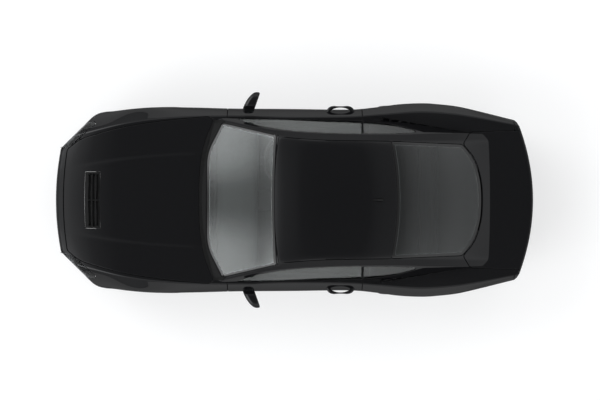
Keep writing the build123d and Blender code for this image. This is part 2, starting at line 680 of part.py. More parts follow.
def make_floor_pan():
    """Floor, tunnel, firewall, aprons, seat pan, boot floor, tail panel and the walls of the wheel wells."""
    pan = floor_band
    pan = pan + block(-1112, 780, -sill_inner_y, sill_inner_y, floor_z, floor_top_z)
    pan = pan + block(-800, 905, -tunnel_half_width, tunnel_half_width, floor_z, tunnel_top_z)
    pan = pan + block(-800, -775, -760, 760, floor_top_z, 880)
    pan = pan - block(-1200, 930, -tunnel_half_width + 25, tunnel_half_width - 25, 0, tunnel_top_z - 25)
    pan = pan + block(2190, 2214, -640, 640, 330, 800)
    apron = [(-1960, 330), (-1960, 700), (-1800, 790), (-1200, 840), (-790, 860), (-790, 190), (-1100, 190),
             (-1100, 330)]
    clear_inside = body_and_ends(skin + 1.0)
    for s in (1, -1):
        for x in jack_point_xs:
            low, high = sorted((s * (jack_point_y - 25), s * (jack_point_y + 25)))
            pan = pan + block(x - 35, x + 35, low, high, jack_point_z, floor_z)
        low, high = sorted((s * (front_well_inner_y - well_wall), s * front_well_inner_y))
        pan = pan + prism_side(apron, low, high)
        low, high = sorted((s * (rear_well_inner_y - well_wall), s * rear_well_inner_y))
        wall = bar_y(rear_axle_x, rear_tyre_radius, low, high, arch_radius + well_wall)
        notch = block(rear_axle_x - 105, rear_axle_x + 105, low - 1, high + 1, 200, 445)
        pan = pan + ((wall & block(700, 1700, -1000, 1000, 300, 950)) - notch)
    for x, r, y in ((front_axle_x, front_tyre_radius, front_well_inner_y),
                    (rear_axle_x, rear_tyre_radius, rear_well_inner_y)):
        for s in (1, -1):
            low, high = sorted((s * y, s * 1000))
            ring = bar_y(x, r, low, high, arch_radius + well_wall) - bar_y(x, r, low, high, arch_radius)
            keep = block(x - 600, x + 600, -1000, 1000, r + 20, 1000)
            pan = pan + (ring & keep & clear_inside)
    tower = rod(kingpin(735), kingpin(tower_top_z + 12), tower_radius + 12)
    shaft = rod(kingpin(600), kingpin(tower_top_z), tower_radius)
    return pan + [tower, left_of(tower)] - [shaft, left_of(shaft)]


def make_radiator():
    return block(-1990, -1960, -440, 440, 330, 740)


def make_seat(y):
    """Cushion, backrest and headrest of one front seat."""
    half = 255
    cushion = prism_side([(40, 260), (20, 400), (60, 440), (580, 400), (620, 300), (560, 230), (80, 230)],
        y - half,
                         y + half, radius=24)
    back = prism_side([(540, 330), (690, 330), (850, 960), (820, 1000), (740, 980)], y - half + 10,
        y + half - 10,
                      radius=20)
    head = prism_side([(790, 975), (895, 975), (915, 1150), (870, 1170), (810, 1150)], y - 130, y + 130,
        radius=20)
    rails = [block(100, 520, y + s * 185 - 15, y + s * 185 + 15, floor_top_z, 240) for s in (1, -1)]
    return cushion + back + head + rails


def make_rear_seat():
    cushion = prism_side([(905, 347), (880, 430), (920, 480), (1290, 500), (1320, 450.5), (1290, 450.5)],
        -585, 585)
    back = prism_side([(1240, 470), (1330, 470), (1428, 930), (1390, 950), (1345, 930)], -585, 585)
    return cushion + back


def make_parcel_shelf():
    """Bulkhead behind the rear seat and the shelf above it."""
    return prism_side([(1345, 450), (1360, 450), (1466, 945), (1850, 985), (1850, 1000), (1452, 960)], -600,
        600)


def make_dashboard():
    shape = prism_side([(-775, 600), (-775, 900), (-700, 925), (-380, 925), (-330, 880), (-360, 760),
        (-480, 600)], -745,
                       745)
    near, far = wheel_centre - column_axis * 25.3, wheel_centre - column_axis * 230
    shroud = wheel_centre - column_axis * 60
    return shape + rod(near, far, 20) + rod(shroud, far, 46)


def make_console():
    return prism_side([(-478, 330), (-478, 598), (-360, 620), (-150, 500), (520, 500), (560, 330)], -110, 110)


def make_steering_wheel():
    place = Location(Plane(origin=wheel_centre, x_dir=(0, 1, 0), z_dir=column_axis))
    ring = Torus(178, 15)
    hub = Pos(0, 0, -20) * Cylinder(55, 50)
    spokes = [Pos(90, 0, -5) * Box(180, 34, 16), Pos(-90, 0, -5) * Box(180, 34, 16),
        Pos(0, -90, -5) * Box(34, 180, 16)]
    wheel = ring + hub
    for spoke in spokes:
        wheel = wheel + (spoke & Cylinder(180, 100))
    wheel = wheel - Pos(0, 0, -40) * Cylinder(20.3, 30)
    return place * wheel


# ---------------------------------------------------------------- all nodes
single = {
    "floor_pan": make_floor_pan, "roof_panel": make_roof, "front_bumper": make_front_bumper,
    "rear_bumper": make_rear_bumper, "grille": make_grille, "headlamps": make_headlamps,
    "tail_lamps": make_tail_lamps, "number_plate": make_number_plate, "windscreen": make_windscreen,
    "rear_window": make_rear_window, "quarter_glass": make_quarter_glass, "cowl_panel": make_cowl,
    "antenna_fin": make_fin, "bonnet": make_bonnet, "bonnet_vent": make_bonnet_vent,
    "boot_lid": make_boot_lid,
    "radiator": make_radiator, "engine": make_engine, "front_subframe": make_front_subframe,
    "rear_axle": make_rear_axle, "exhaust": make_exhaust, "rear_seat": make_rear_seat,
    "parcel_shelf": make_parcel_shelf, "dashboard": make_dashboard, "centre_console": make_console,
    "steering_wheel": make_steering_wheel,
}
paired = {
    "side_frame": make_side_frame, "front_wing": make_front_wing, "door": make_door,
    "door_glass": make_door_glass,
    "mirror": make_mirror, "knuckle": make_knuckle, "front_seat": lambda: make_seat(420.0),
    "front_tyre": lambda: make_tyre(*wheels["front"]), "front_rim": lambda: make_rim(*wheels["front"]),
    "rear_tyre": lambda: make_tyre(*wheels["rear"]), "rear_rim": lambda: make_rim(*wheels["rear"]),
}

os.makedirs("parts", exist_ok=True)
for name, make in single.items():
    save(name, make())
for name, make in paired.items():
    piece = make()
    save(name + "_right", piece)
    save(name + "_left", left_of(piece))
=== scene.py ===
import math
import bmesh
import bpy
import numpy as np
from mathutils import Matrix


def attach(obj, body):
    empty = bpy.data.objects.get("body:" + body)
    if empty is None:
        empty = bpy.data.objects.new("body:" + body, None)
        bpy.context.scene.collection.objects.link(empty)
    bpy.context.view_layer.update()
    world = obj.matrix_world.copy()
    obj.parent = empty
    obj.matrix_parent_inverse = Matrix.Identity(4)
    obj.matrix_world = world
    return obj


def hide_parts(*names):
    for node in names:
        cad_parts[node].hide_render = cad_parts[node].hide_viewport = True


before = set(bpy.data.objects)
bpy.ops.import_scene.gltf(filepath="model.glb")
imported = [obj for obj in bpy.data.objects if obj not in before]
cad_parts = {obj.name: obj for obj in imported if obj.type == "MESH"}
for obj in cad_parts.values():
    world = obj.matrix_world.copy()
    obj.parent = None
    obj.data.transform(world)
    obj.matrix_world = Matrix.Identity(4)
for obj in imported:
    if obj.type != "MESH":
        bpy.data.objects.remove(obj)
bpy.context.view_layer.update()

print("frame loaded:", len(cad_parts), "nodes")

# driving values, in metres
car = {
    "halfLength": 2.405, "frontAxleX": -1.525, "rearAxleX": 1.195, "frontTyreRadius": 0.343,
    "rearTyreRadius": 0.351, "frontTrackHalf": 0.776, "rearTrackHalf": 0.820, "archRadius": 0.402,
    "panelDepth": 0.020, "edgeRoll": 0.0024, "shutGap": 0.006, "gridStep": 0.018,
}

# Lower body, one row a section: x, floor edge y z, sill y z, widest y z, shoulder crease y z, centre top z
bodyRows = np.array([
    (-2460, 700, 150, 745, 215, 790, 480, 580, 690, 725),
    (-2200, 745, 150, 790, 215, 835, 520, 650, 775, 803),
    (-1950, 770, 150, 815, 215, 878, 560, 712, 832, 855),
    (-1700, 800, 155, 840, 215, 907, 650, 766, 866, 890),
    (-1338, 815, 160, 856, 215, 917, 720, 820, 893, 928),
    (-1000, 820, 165, 875, 215, 932, 630, 842, 915, 958),
    (-600, 815, 165, 868, 215, 925, 610, 848, 935, 985),
    (0, 812, 165, 862, 215, 921, 600, 832, 950, 990),
    (550, 805, 165, 856, 215, 914, 605, 838, 948, 995),
    (850, 815, 165, 860, 215, 925, 690, 860, 938, 1000),
    (1298, 845, 170, 890, 225, 950, 745, 890, 952, 1030),
    (1600, 825, 190, 868, 245, 930, 745, 870, 972, 1045),
    (1900, 780, 220, 830, 275, 882, 750, 822, 998, 1056),
    (2200, 730, 250, 775, 305, 812, 750, 764, 1020, 1068),
    (2460, 700, 270, 735, 325, 752, 750, 718, 1030, 1078)]) * 0.001

# Glasshouse, one row a section: x, belt y z, gutter y z, roof edge y z, centre top z
houseRows = np.array([
    (-960, 832, 790, 826, 815, 800, 845, 945),
    (-702, 822, 940, 803, 958, 765, 985, 1068),
    (-420, 822, 950, 744, 1117, 702, 1152, 1203),
    (-160, 818, 955, 700, 1240, 642, 1292, 1325),
    (250, 806, 958, 668, 1295, 592, 1350, 1394),
    (650, 799, 958, 657, 1283, 588, 1335, 1380),
    (1000, 785, 965, 656, 1228, 586, 1283, 1322),
    (1450, 722, 1000, 668, 1118, 592, 1168, 1208),
    (1750, 680, 1015, 668, 1048, 598, 1082, 1122),
    (2050, 672, 960, 660, 985, 590, 1005, 1035)]) * 0.001


# surfaces of the body
def smoothTable(rows, step=0.01):
    # columns against x: a monotone cubic through the rows, then blurred by a bell curve 50 mm wide
    x, y = rows[:, 0], rows[:, 1:]
    slope = np.diff(y, axis=0) / np.diff(x)[:, None]
    product = slope[1:] * slope[:-1]
    tangent = np.zeros_like(y)
    tangent[1:-1] = np.where(product > 0, 2 * product / np.where(product > 0, slope[1:] + slope[:-1], 1), 0)
    tangent[0], tangent[-1] = slope[0], slope[-1]
    xs = np.arange(x[0], x[-1] + step / 2, step)
    k = np.clip(np.searchsorted(x, xs, "right") - 1, 0, len(x) - 2)
    h = (x[k + 1] - x[k])[:, None]
    t = (xs[:, None] - x[k][:, None]) / h
    values = (y[k] * (2 * t ** 3 - 3 * t ** 2 + 1) + y[k + 1] * (3 * t ** 2 - 2 * t ** 3)
              + h * tangent[k] * (t ** 3 - 2 * t ** 2 + t) + h * tangent[k + 1] * (t ** 3 - t ** 2))
    width = np.arange(-15, 16)
    bell = np.exp(-0.5 * (width / 5.0) ** 2)
    bell = bell / bell.sum()
    padded = np.vstack([values[0] + (width[:15, None] * step) * slope[0], values,
                        values[-1] + (width[16:, None] * step) * slope[-1]])
    smooth = np.stack([np.convolve(padded[:, c], bell, "valid") for c in range(values.shape[1])], axis=1)
    return xs, smooth


def columnsAt(table, x):
    xs, values = table
    return [np.interp(x, xs, values[:, c]) for c in range(values.shape[1])]


def arcThrough(ax, ay, bx, by, cx, cy, t):
    # point at share t of the circle arc a-b-c, from the circle through the three points
    d = 2 * (ax * (by - cy) + bx * (cy - ay) + cx * (ay - by))
    d = np.where(np.abs(d) < 1e-9, 1e-9, d)
    sa, sb, sc = ax ** 2 + ay ** 2, bx ** 2 + by ** 2, cx ** 2 + cy ** 2
    ox = (sa * (by - cy) + sb * (cy - ay) + sc * (ay - by)) / d
    oy = (sa * (cx - bx) + sb * (ax - cx) + sc * (bx - ax)) / d
    r = np.hypot(ax - ox, ay - oy)
    a0 = np.arctan2(ay - oy, ax - ox)
    a1 = np.arctan2(cy - oy, cx - ox)
    turn = np.arctan2(np.sin(a1 - a0), np.cos(a1 - a0))
    return ox + r * np.cos(a0 + turn * t), oy + r * np.sin(a0 + turn * t)


bodyTable = smoothTable(bodyRows)
houseTable = smoothTable(houseRows)
nose = {"bow": 0.048, "halfWidth": 0.505, "corner": 0.030, "lineZ": 0.560, "leanUp": 3.0, "leanDown": 7.0,
        "round": 0.030, "aimShare": 0.52, "aimZ": 0.625}
tail = {"bow": 0.150, "halfWidth": 0.780, "lineZ": 0.560, "leanUp": 0.5, "leanDown": 7.0, "round": 0.020,
        "aimShare": 0.28, "aimZ": 0.660}


def lean(end, z):
    above = np.maximum(z - end["lineZ"], 0) * math.tan(math.radians(end["leanUp"]))
    below = np.maximum(end["lineZ"] - z, 0) * math.tan(math.radians(end["leanDown"]))
    return above + below


def noseX(y, z):
    # x of the nose face: a shallow bow, then a 45 degree corner, leaning back above and below the bumper line
    a = np.abs(y)
    bow = nose["bow"] * (np.minimum(a, nose["halfWidth"]) / nose["halfWidth"]) ** 2
    corner = np.maximum(a - nose["halfWidth"], 0)
    soft = np.where(corner < nose["corner"], corner ** 2 / (2 * nose["corner"]), corner - nose["corner"] / 2)
    return -car["halfLength"] + bow + soft + lean(nose, z)


def tailX(y, z):
    return car["halfLength"] - tail["bow"] * (np.abs(y) / tail["halfWidth"]) ** 2 - lean(tail, z)


def smoothStep(t):
    t = np.clip(t, 0, 1)
    return t * t * (3 - 2 * t)


bonnetStep = {"rise": 0.0040, "soft": 0.050, "front": -2.26, "frontFade": 0.45, "rear": -0.90, "rearFade": 0.12}
haunch = {"drop": 0.022, "soft": 0.030, "front": 0.78, "frontFade": 0.20, "rear": 1.76, "rearFade": 0.16}
flare = {"front": 0.040, "frontX": -1.57, "frontLong": 0.26, "rear": 0.030, "rearX": 1.15, "rearLong": 0.38,
         "tail": 0.014, "tailX": 1.64, "tailLong": 0.22, "z": 0.75, "above": 0.085, "below": 0.150}


def domeLift(x, y):
    # raised middle of the bonnet: a low step across, fading out at the nose and at the cowl; its half width is a
    # parabola along the car
    d = x + 0.947
    half = 0.467 + 0.0213 * d - 0.0659 * d * d
    step = smoothStep((half - np.abs(y)) / bonnetStep["soft"] + 0.5)
    ends = smoothStep((x - bonnetStep["front"]) / bonnetStep["frontFade"])
    return bonnetStep["rise"] * step * ends * smoothStep((bonnetStep["rear"] - x) / bonnetStep["rearFade"])


def insideHaunch(x, y):
    # how far a place lies inwards of the crease that runs back along the haunch
    return (0.855 - (x - 0.768) * 0.1803 - np.abs(y)) * 0.984


def haunchDrop(x, y):
    # valley between that crease and the rear pillar
    across = haunch["drop"] * smoothStep(insideHaunch(x, y) / haunch["soft"])
    ends = smoothStep((x - haunch["front"]) / haunch["frontFade"])
    return across * ends * smoothStep((haunch["rear"] - x) / haunch["rearFade"])


def archFlare(x, z):
    # how far the body swells over the wheels, most at the height of the arches' tops
    front = flare["front"] * np.exp(-((x - flare["frontX"]) / flare["frontLong"]) ** 2)
    rear = flare["rear"] * np.exp(-((x - flare["rearX"]) / flare["rearLong"]) ** 2)
    rear = rear + flare["tail"] * np.exp(-((x - flare["tailX"]) / flare["tailLong"]) ** 2)
    reach = np.where(z > flare["z"], flare["above"], flare["below"])
    return (front + rear) * np.exp(-((z - flare["z"]) / reach) ** 2)


def bodySection(x, v):
    # y and z round the body at x: v runs 0..1 along the floor, 1..2 floor edge to sill, 2..3 side arc to the
    # shoulder crease, 3..4 crown to the middle, and on to 8 down the other side
    side = np.where(v > 4, -1.0, 1.0)
    w = np.where(v > 4, 8 - v, v)
    fy, fz, sy, sz, wy, wz, cy, cz, tz = columnsAt(bodyTable, x)
    y, z = fy * np.clip(w, 0, 1), fz
    m = (w > 1) & (w <= 2)
    y, z = np.where(m, fy + (sy - fy) * (w - 1), y), np.where(m, fz + (sz - fz) * (w - 1), z)
    ay, az = arcThrough(sy, sz, wy, wz, cy, cz, np.clip(w - 2, 0, 1))
    m = (w > 2) & (w <= 3)
    y, z = np.where(m, ay, y), np.where(m, az, z)
    by, bz = arcThrough(cy, cz, 0 * cy, tz, -cy, cz, np.clip(w - 3, 0, 1) / 2)
    m = w > 3
    y, z = np.where(m, by, y), np.where(m, bz, z)
    return (y + archFlare(x, z) * smoothStep((y - 0.60) / 0.15)) * side, z


def softSection(x, v):
    # the section with its corners eased: the mean of five samples 0.006 apart round the outline
    y, z = 0, 0
    for k in (-2, -1, 0, 1, 2):
        w = v + k * 0.006
        over = np.where((w < 0) | (w > 8), -1.0, 1.0)
        a, b = bodySection(x, np.where(w < 0, -w, np.where(w > 8, 16 - w, w)))
        y, z = y + over * a / 5, z + b / 5
    return y, z + np.where((v > 3) & (v < 5), domeLift(x, y) - haunchDrop(x, y), 0)


def pullIn(u, v, face, way, end):
    # past the face of an end the outline turns over a quarter circle and runs inwards along the face,
    # towards a short line across its middle
    r = end["round"]
    edge = np.full(u.shape, way * 2.33)
    for _ in range(5):
        edge = face(*softSection(edge - way * r, v))
    past = way * (u - edge)
    turn = np.clip(past / r + 1, 0, math.pi / 2)
    back = r * (1 - np.sin(turn))
    inward = r * (1 - np.cos(turn)) + np.maximum(past - r * (math.pi / 2 - 1), 0)
    x = np.where(past < -r, u, edge - way * back)
    y, z = softSection(x, v)
    goY, goZ = end["aimShare"] * y - y, end["aimZ"] - z
    length = np.maximum(np.hypot(goY, goZ), 1e-6)
    ay, az = bodySection(edge, np.clip(v - 0.2, 0, 8))
    by, bz = bodySection(edge, np.clip(v + 0.2, 0, 8))
    slant = np.abs((by - ay) * goZ - (bz - az) * goY) / (length * np.maximum(np.hypot(by - ay, bz - az), 1e-6))
    share = np.clip(inward / np.maximum(slant, 0.4) / length, 0, 1)
    y, z = y + goY * share, z + goZ * share
    return np.where(past < -r, u, face(y, z) - way * back), y, z


def lowerBody(u, v):
    # u is x along the car, v goes round the section; beyond the nose and tail faces it runs over them
    y, z = softSection(u, v)
    x = u.copy()
    for face, way, end in ((noseX, -1, nose), (tailX, 1, tail)):
        m = way * u > 1.75
        if m.any():
            x[m], y[m], z[m] = pullIn(u[m], v[m], face, way, end)
    return np.stack([x, y, z], axis=-1)


def crownZ(x, y):
    # height of the body's crown arc at a place seen from above
    cy, cz, tz = [np.interp(x, bodyTable[0], bodyTable[1][:, c]) for c in (6, 7, 8)]
    rise = np.maximum(tz - cz, 1e-4)
    r = (cy ** 2 + rise ** 2) / (2 * rise)
    return tz - r + np.sqrt(np.maximum(r ** 2 - np.minimum(np.abs(y), cy) ** 2, 0)) - haunchDrop(x, y)


def houseSection(u, w):
    # half a section: w runs 0..1 base to belt, 1..2 side glass, 2..3 roof rail, 3..4 roof crown
    by, bz, gy, gz, ry, rz, tz = columnsAt(houseTable, u)
    ys = np.stack([by + 0.020, by, gy, ry])
    zs = np.stack([0 * bz + 0.70, bz, gz, rz])
    k = np.clip(np.floor(w).astype(int), 0, 2)
    t = np.clip(w - k, 0, 1)
    ya, yb = np.take_along_axis(ys, k[None], 0)[0], np.take_along_axis(ys, k[None] + 1, 0)[0]
    za, zb = np.take_along_axis(zs, k[None], 0)[0], np.take_along_axis(zs, k[None] + 1, 0)[0]
    y, z = ya + (yb - ya) * t, za + (zb - za) * t
    cy, cz = arcThrough(ry, rz, 0 * ry, tz, -ry, rz, np.clip(w - 3, 0, 1) / 2)
    return np.where(w > 3, cy, y), np.where(w > 3, cz, z)


def house(u, v):
    # u is x and v goes up one side, over the roof and down the other; the rails' corners are eased
    side = np.where(v > 4, -1.0, 1.0)
    w = np.where(v > 4, 8 - v, v)
    ease = 0.055 * smoothStep((w - 1.3) / 0.3) * smoothStep((3.6 - w) / 0.3)
    total = [houseSection(u, w + k * ease) for k in (-2, -1, 0, 1, 2)]
    y, z = sum(p[0] for p in total) / 5, sum(p[1] for p in total) / 5
    return np.stack([u, y * side, z], axis=-1)


def houseTopZ(x, y):
    # height of the glasshouse at a place seen from above, far below it outside the belt line
    by, bz, gy, gz, ry, rz, tz = columnsAt(houseTable, x)
    a = np.abs(y)
    rise = np.maximum(tz - rz, 1e-4)
    r = (ry ** 2 + rise ** 2) / (2 * rise)
    top = tz - r + np.sqrt(np.maximum(r ** 2 - np.minimum(a, ry) ** 2, 0))
    rail = rz + (gz - rz) * np.clip((a - ry) / (gy - ry), 0, 1)
    side = gz + (bz - gz) * np.clip((a - gy) / (by - gy), 0, 1)
    low = bz - (a - by) / 0.020 * (bz - 0.70)
    return np.where(a < ry, top, np.where(a < gy, rail, np.where(a < by, side, low)))


def normalOf(surface, u, v):
    # cross product of the two central differences, turned to point away from the car's middle
    du, dv = 0.002, 0.004
    a = surface(u + du, v) - surface(u - du, v)
    b = surface(u, v + dv) - surface(u, v - dv)
    n = np.cross(b, a)
    n = n / np.maximum(np.linalg.norm(n, axis=-1, keepdims=True), 1e-12)
    p = surface(u, v)
    away = np.stack([8 * (p[..., 0] - np.clip(p[..., 0], -2.24, 2.24)), p[..., 1], p[..., 2] - 0.62], axis=-1)
    return n * np.where((n * away).sum(-1, keepdims=True) < 0, -1, 1)


# outlines
def roundedOutline(points, corner=0.012):
    # each corner is eased by a short curve: a gentle one over half of its edges, a sharp one over a set length
    p = np.array(points, float)
    before, after = np.roll(p, 1, axis=0) - p, np.roll(p, -1, axis=0) - p
    a, b = np.linalg.norm(before, axis=1), np.linalg.norm(after, axis=1)
    turn = np.degrees(np.arccos(np.clip(-(before * after).sum(axis=1) / (a * b), -1, 1)))
    half = np.minimum(a, b) / 2
    cut = np.where(turn < 33, half, np.minimum(corner, half))[:, None]
    start, stop = p + before / a[:, None] * cut, p + after / b[:, None] * cut
    t = np.linspace(0, 1, 7)[None, :, None]
    line = (start[:, None] * (1 - t) ** 2 + 2 * p[:, None] * t * (1 - t) + stop[:, None] * t ** 2).reshape(-1, 2)
    return line[np.linalg.norm(line - np.roll(line, 1, axis=0), axis=1) > 1e-6]


def insideDistance(outline, a, b):
    # distance from the points (a, b) to the outline, positive inside it
    flatA, flatB = a.ravel(), b.ravel()
    best = np.full(flatA.shape, 1e9)
    inside = np.zeros(flatA.shape, bool)
    for p, q in zip(outline, np.roll(outline, -1, axis=0)):
        edge = q - p
        t = np.clip(((flatA - p[0]) * edge[0] + (flatB - p[1]) * edge[1]) / max(edge @ edge, 1e-12), 0, 1)
        best = np.minimum(best, np.hypot(flatA - p[0] - t * edge[0], flatB - p[1] - t * edge[1]))
        crosses = (p[1] > flatB) != (q[1] > flatB)
        hitA = p[0] + (flatB - p[1]) * edge[0] / (edge[1] if edge[1] else 1e-12)
        inside ^= crosses & (flatA < hitA)
    return np.where(inside, best, -best).reshape(a.shape)


# cutting a grid of (u, v) along lines
def splitAlong(uv, faces, d):
    # splits every triangle that the line d = 0 crosses; the new points lie on the line
    inside = d > 0
    count = inside[faces].sum(axis=1)
    mixed = (count == 1) | (count == 2)
    f = faces[mixed]
    if len(f) == 0:
        return uv, faces
    lone = inside[f] == (count[mixed] == 1)[:, None]
    first = lone.argmax(axis=1)
    rows = np.arange(len(f))
    a, b, c = f[rows, first], f[rows, (first + 1) % 3], f[rows, (first + 2) % 3]
    ends = np.concatenate([np.sort(np.stack([a, b], 1), 1), np.sort(np.stack([a, c], 1), 1)])
    pairs, back = np.unique(ends, axis=0, return_inverse=True)
    back = back.reshape(-1)
    da, db = d[pairs[:, 0]], d[pairs[:, 1]]
    t = np.clip(da / (da - db), 0.0005, 0.9995)[:, None]
    fresh = uv[pairs[:, 0]] * (1 - t) + uv[pairs[:, 1]] * t
    p, q = back[:len(f)] + len(uv), back[len(f):] + len(uv)
    parts = [faces[~mixed], np.stack([a, p, q], 1), np.stack([p, b, c], 1), np.stack([p, c, q], 1)]
    return np.vstack([uv, fresh]), np.vstack(parts)


def keepInside(uv, faces, d):
    faces = faces[d[faces].mean(axis=1) > 0]
    used, back = np.unique(faces, return_inverse=True)
    return uv[used], back.reshape(-1, 3)


def gridFaces(rows, columns):
    k = np.arange(rows * columns).reshape(rows, columns)
    a, b, c, d = k[:-1, :-1].ravel(), k[1:, :-1].ravel(), k[1:, 1:].ravel(), k[:-1, 1:].ravel()
    return np.vstack([np.stack([a, b, c], 1), np.stack([a, c, d], 1)])


def bodyGrid(u0, u1, vs):
    us = np.linspace(u0, u1, max(int((u1 - u0) / car["gridStep"]), 2))
    u, v = np.meshgrid(us, vs, indexing="ij")
    return np.stack([u.ravel(), v.ravel()], 1), gridFaces(len(us), len(vs))


def surfaceDistance(surface, uv, field):
    # the field divided by its slope along the surface, which is a true distance near its zero line
    u, v = uv[:, 0], uv[:, 1]
    p = surface(u, v)
    a, b = surface(u + 0.002, v) - p, surface(u, v + 0.004) - p
    f = field(p)
    fa, fb = field(p + a) - f, field(p + b) - f
    aa, bb, ab = (a * a).sum(1), (b * b).sum(1), (a * b).sum(1)
    det = np.maximum(aa * bb - ab * ab, 1e-18)
    slope = np.sqrt(np.maximum((fa * fa * bb - 2 * fa * fb * ab + fb * fb * aa) / det, 0))
    return f / np.clip(slope, 0.05, 50)


def outerSheet(surface, u0, u1, vs, fields, seams=(), creases=()):
    # a piece of a surface: the grid is cut by each field and seam in turn. The edges that the fields make are
    # ringed by lines close to them and rolled over; a seam joins metal of the same panel and stays as cut. Along
    # a crease the grid gets edges, and both sides stay.
    uv, faces = bodyGrid(u0, u1, vs)
    for crease in creases:
        uv, faces = splitAlong(uv, faces, crease(surface(uv[:, 0], uv[:, 1])))
    for field in list(seams) + list(fields):
        d = field(surface(uv[:, 0], uv[:, 1]))
        uv, faces = splitAlong(uv, faces, d)
        d = field(surface(uv[:, 0], uv[:, 1]))
        uv, faces = keepInside(uv, faces, d)
        if len(faces) == 0:
            raise SystemExit("a sheet of the body is empty")

    def edge(places):
        return np.min([surfaceDistance(surface, places, field) for field in fields], axis=0)
    for level in (0.0007, 0.0018, 0.0040):
        uv, faces = splitAlong(uv, faces, edge(uv) - level)
    points = surface(uv[:, 0], uv[:, 1])
    normals = normalOf(surface, uv[:, 0], uv[:, 1])
    d = np.maximum(edge(uv), 0)
    near = d < car["edgeRoll"]
    if near.any():
        q, n, places = points[near], normals[near], uv[near]
        du, dv = np.array([0.0008, 0]), np.array([0, 0.0016])
        a = surface(places[:, 0] + du[0], places[:, 1]) - q
        b = surface(places[:, 0], places[:, 1] + dv[1]) - q
        fa, fb = edge(places + du) - d[near], edge(places + dv) - d[near]
        aa, bb, ab = (a * a).sum(1), (b * b).sum(1), (a * b).sum(1)
        det = np.maximum(aa * bb - ab * ab, 1e-18)
        slope = a * ((fa * bb - fb * ab) / det)[:, None] + b * ((fb * aa - fa * ab) / det)[:, None]
        slope = slope / np.maximum(np.linalg.norm(slope, axis=1, keepdims=True), 1e-9)
        r = car["edgeRoll"]
        s = np.clip((r - d[near]) / r, 0, 0.98)[:, None]
        points[near] = q - n * r * (1 - np.sqrt(1 - s * s))
        normals[near] = n * np.sqrt(1 - s * s) - slope * s
    return points, normals, faces, d


def closedShell(sheets, depth):
    # joins sheets, adds the inner skin at a depth along the normals, and closes the rims between them
    points, normals, faces = [], [], []
    count = 0
    for p, n, f, _ in sheets:
        a, b, c = p[f[:, 0]], p[f[:, 1]], p[f[:, 2]]
        flip = (np.cross(b - a, c - a) * (n[f].sum(axis=1))).sum(axis=1) < 0
        f = np.where(flip[:, None], f[:, ::-1], f)
        edges = np.vstack([f[:, [0, 1]], f[:, [1, 2]], f[:, [2, 0]]])
        code = edges[:, 0].astype(np.int64) * (len(p) + 1) + edges[:, 1]
        mirror = edges[:, 1].astype(np.int64) * (len(p) + 1) + edges[:, 0]
        rim = edges[~np.isin(code, mirror)]
        inner = f[:, ::-1] + len(p)
        wall = np.vstack([np.stack([rim[:, 1], rim[:, 0], rim[:, 0] + len(p)], 1),
                          np.stack([rim[:, 1], rim[:, 0] + len(p), rim[:, 1] + len(p)], 1)])
        back = p - normalFlat(p, f) * depth if np.isscalar(depth) else depth(p)
        points += [p, back]
        normals += [n, -n]
        faces += [f + count, inner + count, wall + count]
        count += 2 * len(p)
    return np.vstack(points), np.vstack(normals), np.vstack(faces)


def normalFlat(p, f):
    # vertex normals of the sheet without the roll at its edge, from its face areas
    a, b, c = p[f[:, 0]], p[f[:, 1]], p[f[:, 2]]
    area = np.cross(b - a, c - a)
    total = np.zeros_like(p)
    for k in range(3):
        np.add.at(total, f[:, k], area)
    return total / np.maximum(np.linalg.norm(total, axis=1, keepdims=True), 1e-12)


def meshObject(name, points, faces, material, smooth=True):
    mesh = bpy.data.meshes.new(name)
    mesh.from_pydata(points.tolist(), [], faces if isinstance(faces, list) else faces.tolist())
    mesh.polygons.foreach_set("use_smooth", np.full(len(mesh.polygons), smooth))
    mesh.materials.append(material)
    mesh.update()
    piece = bpy.data.objects.new(name, mesh)
    bpy.context.scene.collection.objects.link(piece)
    return piece


# materials
def nodeTree(name):
    made = bpy.data.materials.new(name)
    made.use_nodes = True
    tree = made.node_tree
    return made, tree, tree.nodes["Principled BSDF"]


def objectNoise(tree, scale, detail=3.0, stretch=(1, 1, 1)):
    coords, place = tree.nodes.new("ShaderNodeTexCoord"), tree.nodes.new("ShaderNodeMapping")
    noise = tree.nodes.new("ShaderNodeTexNoise")
    place.inputs["Scale"].default_value = stretch
    noise.inputs["Scale"].default_value = scale
    noise.inputs["Detail"].default_value = detail
    tree.links.new(coords.outputs["Object"], place.inputs["Vector"])
    tree.links.new(place.outputs["Vector"], noise.inputs["Vector"])
    return noise


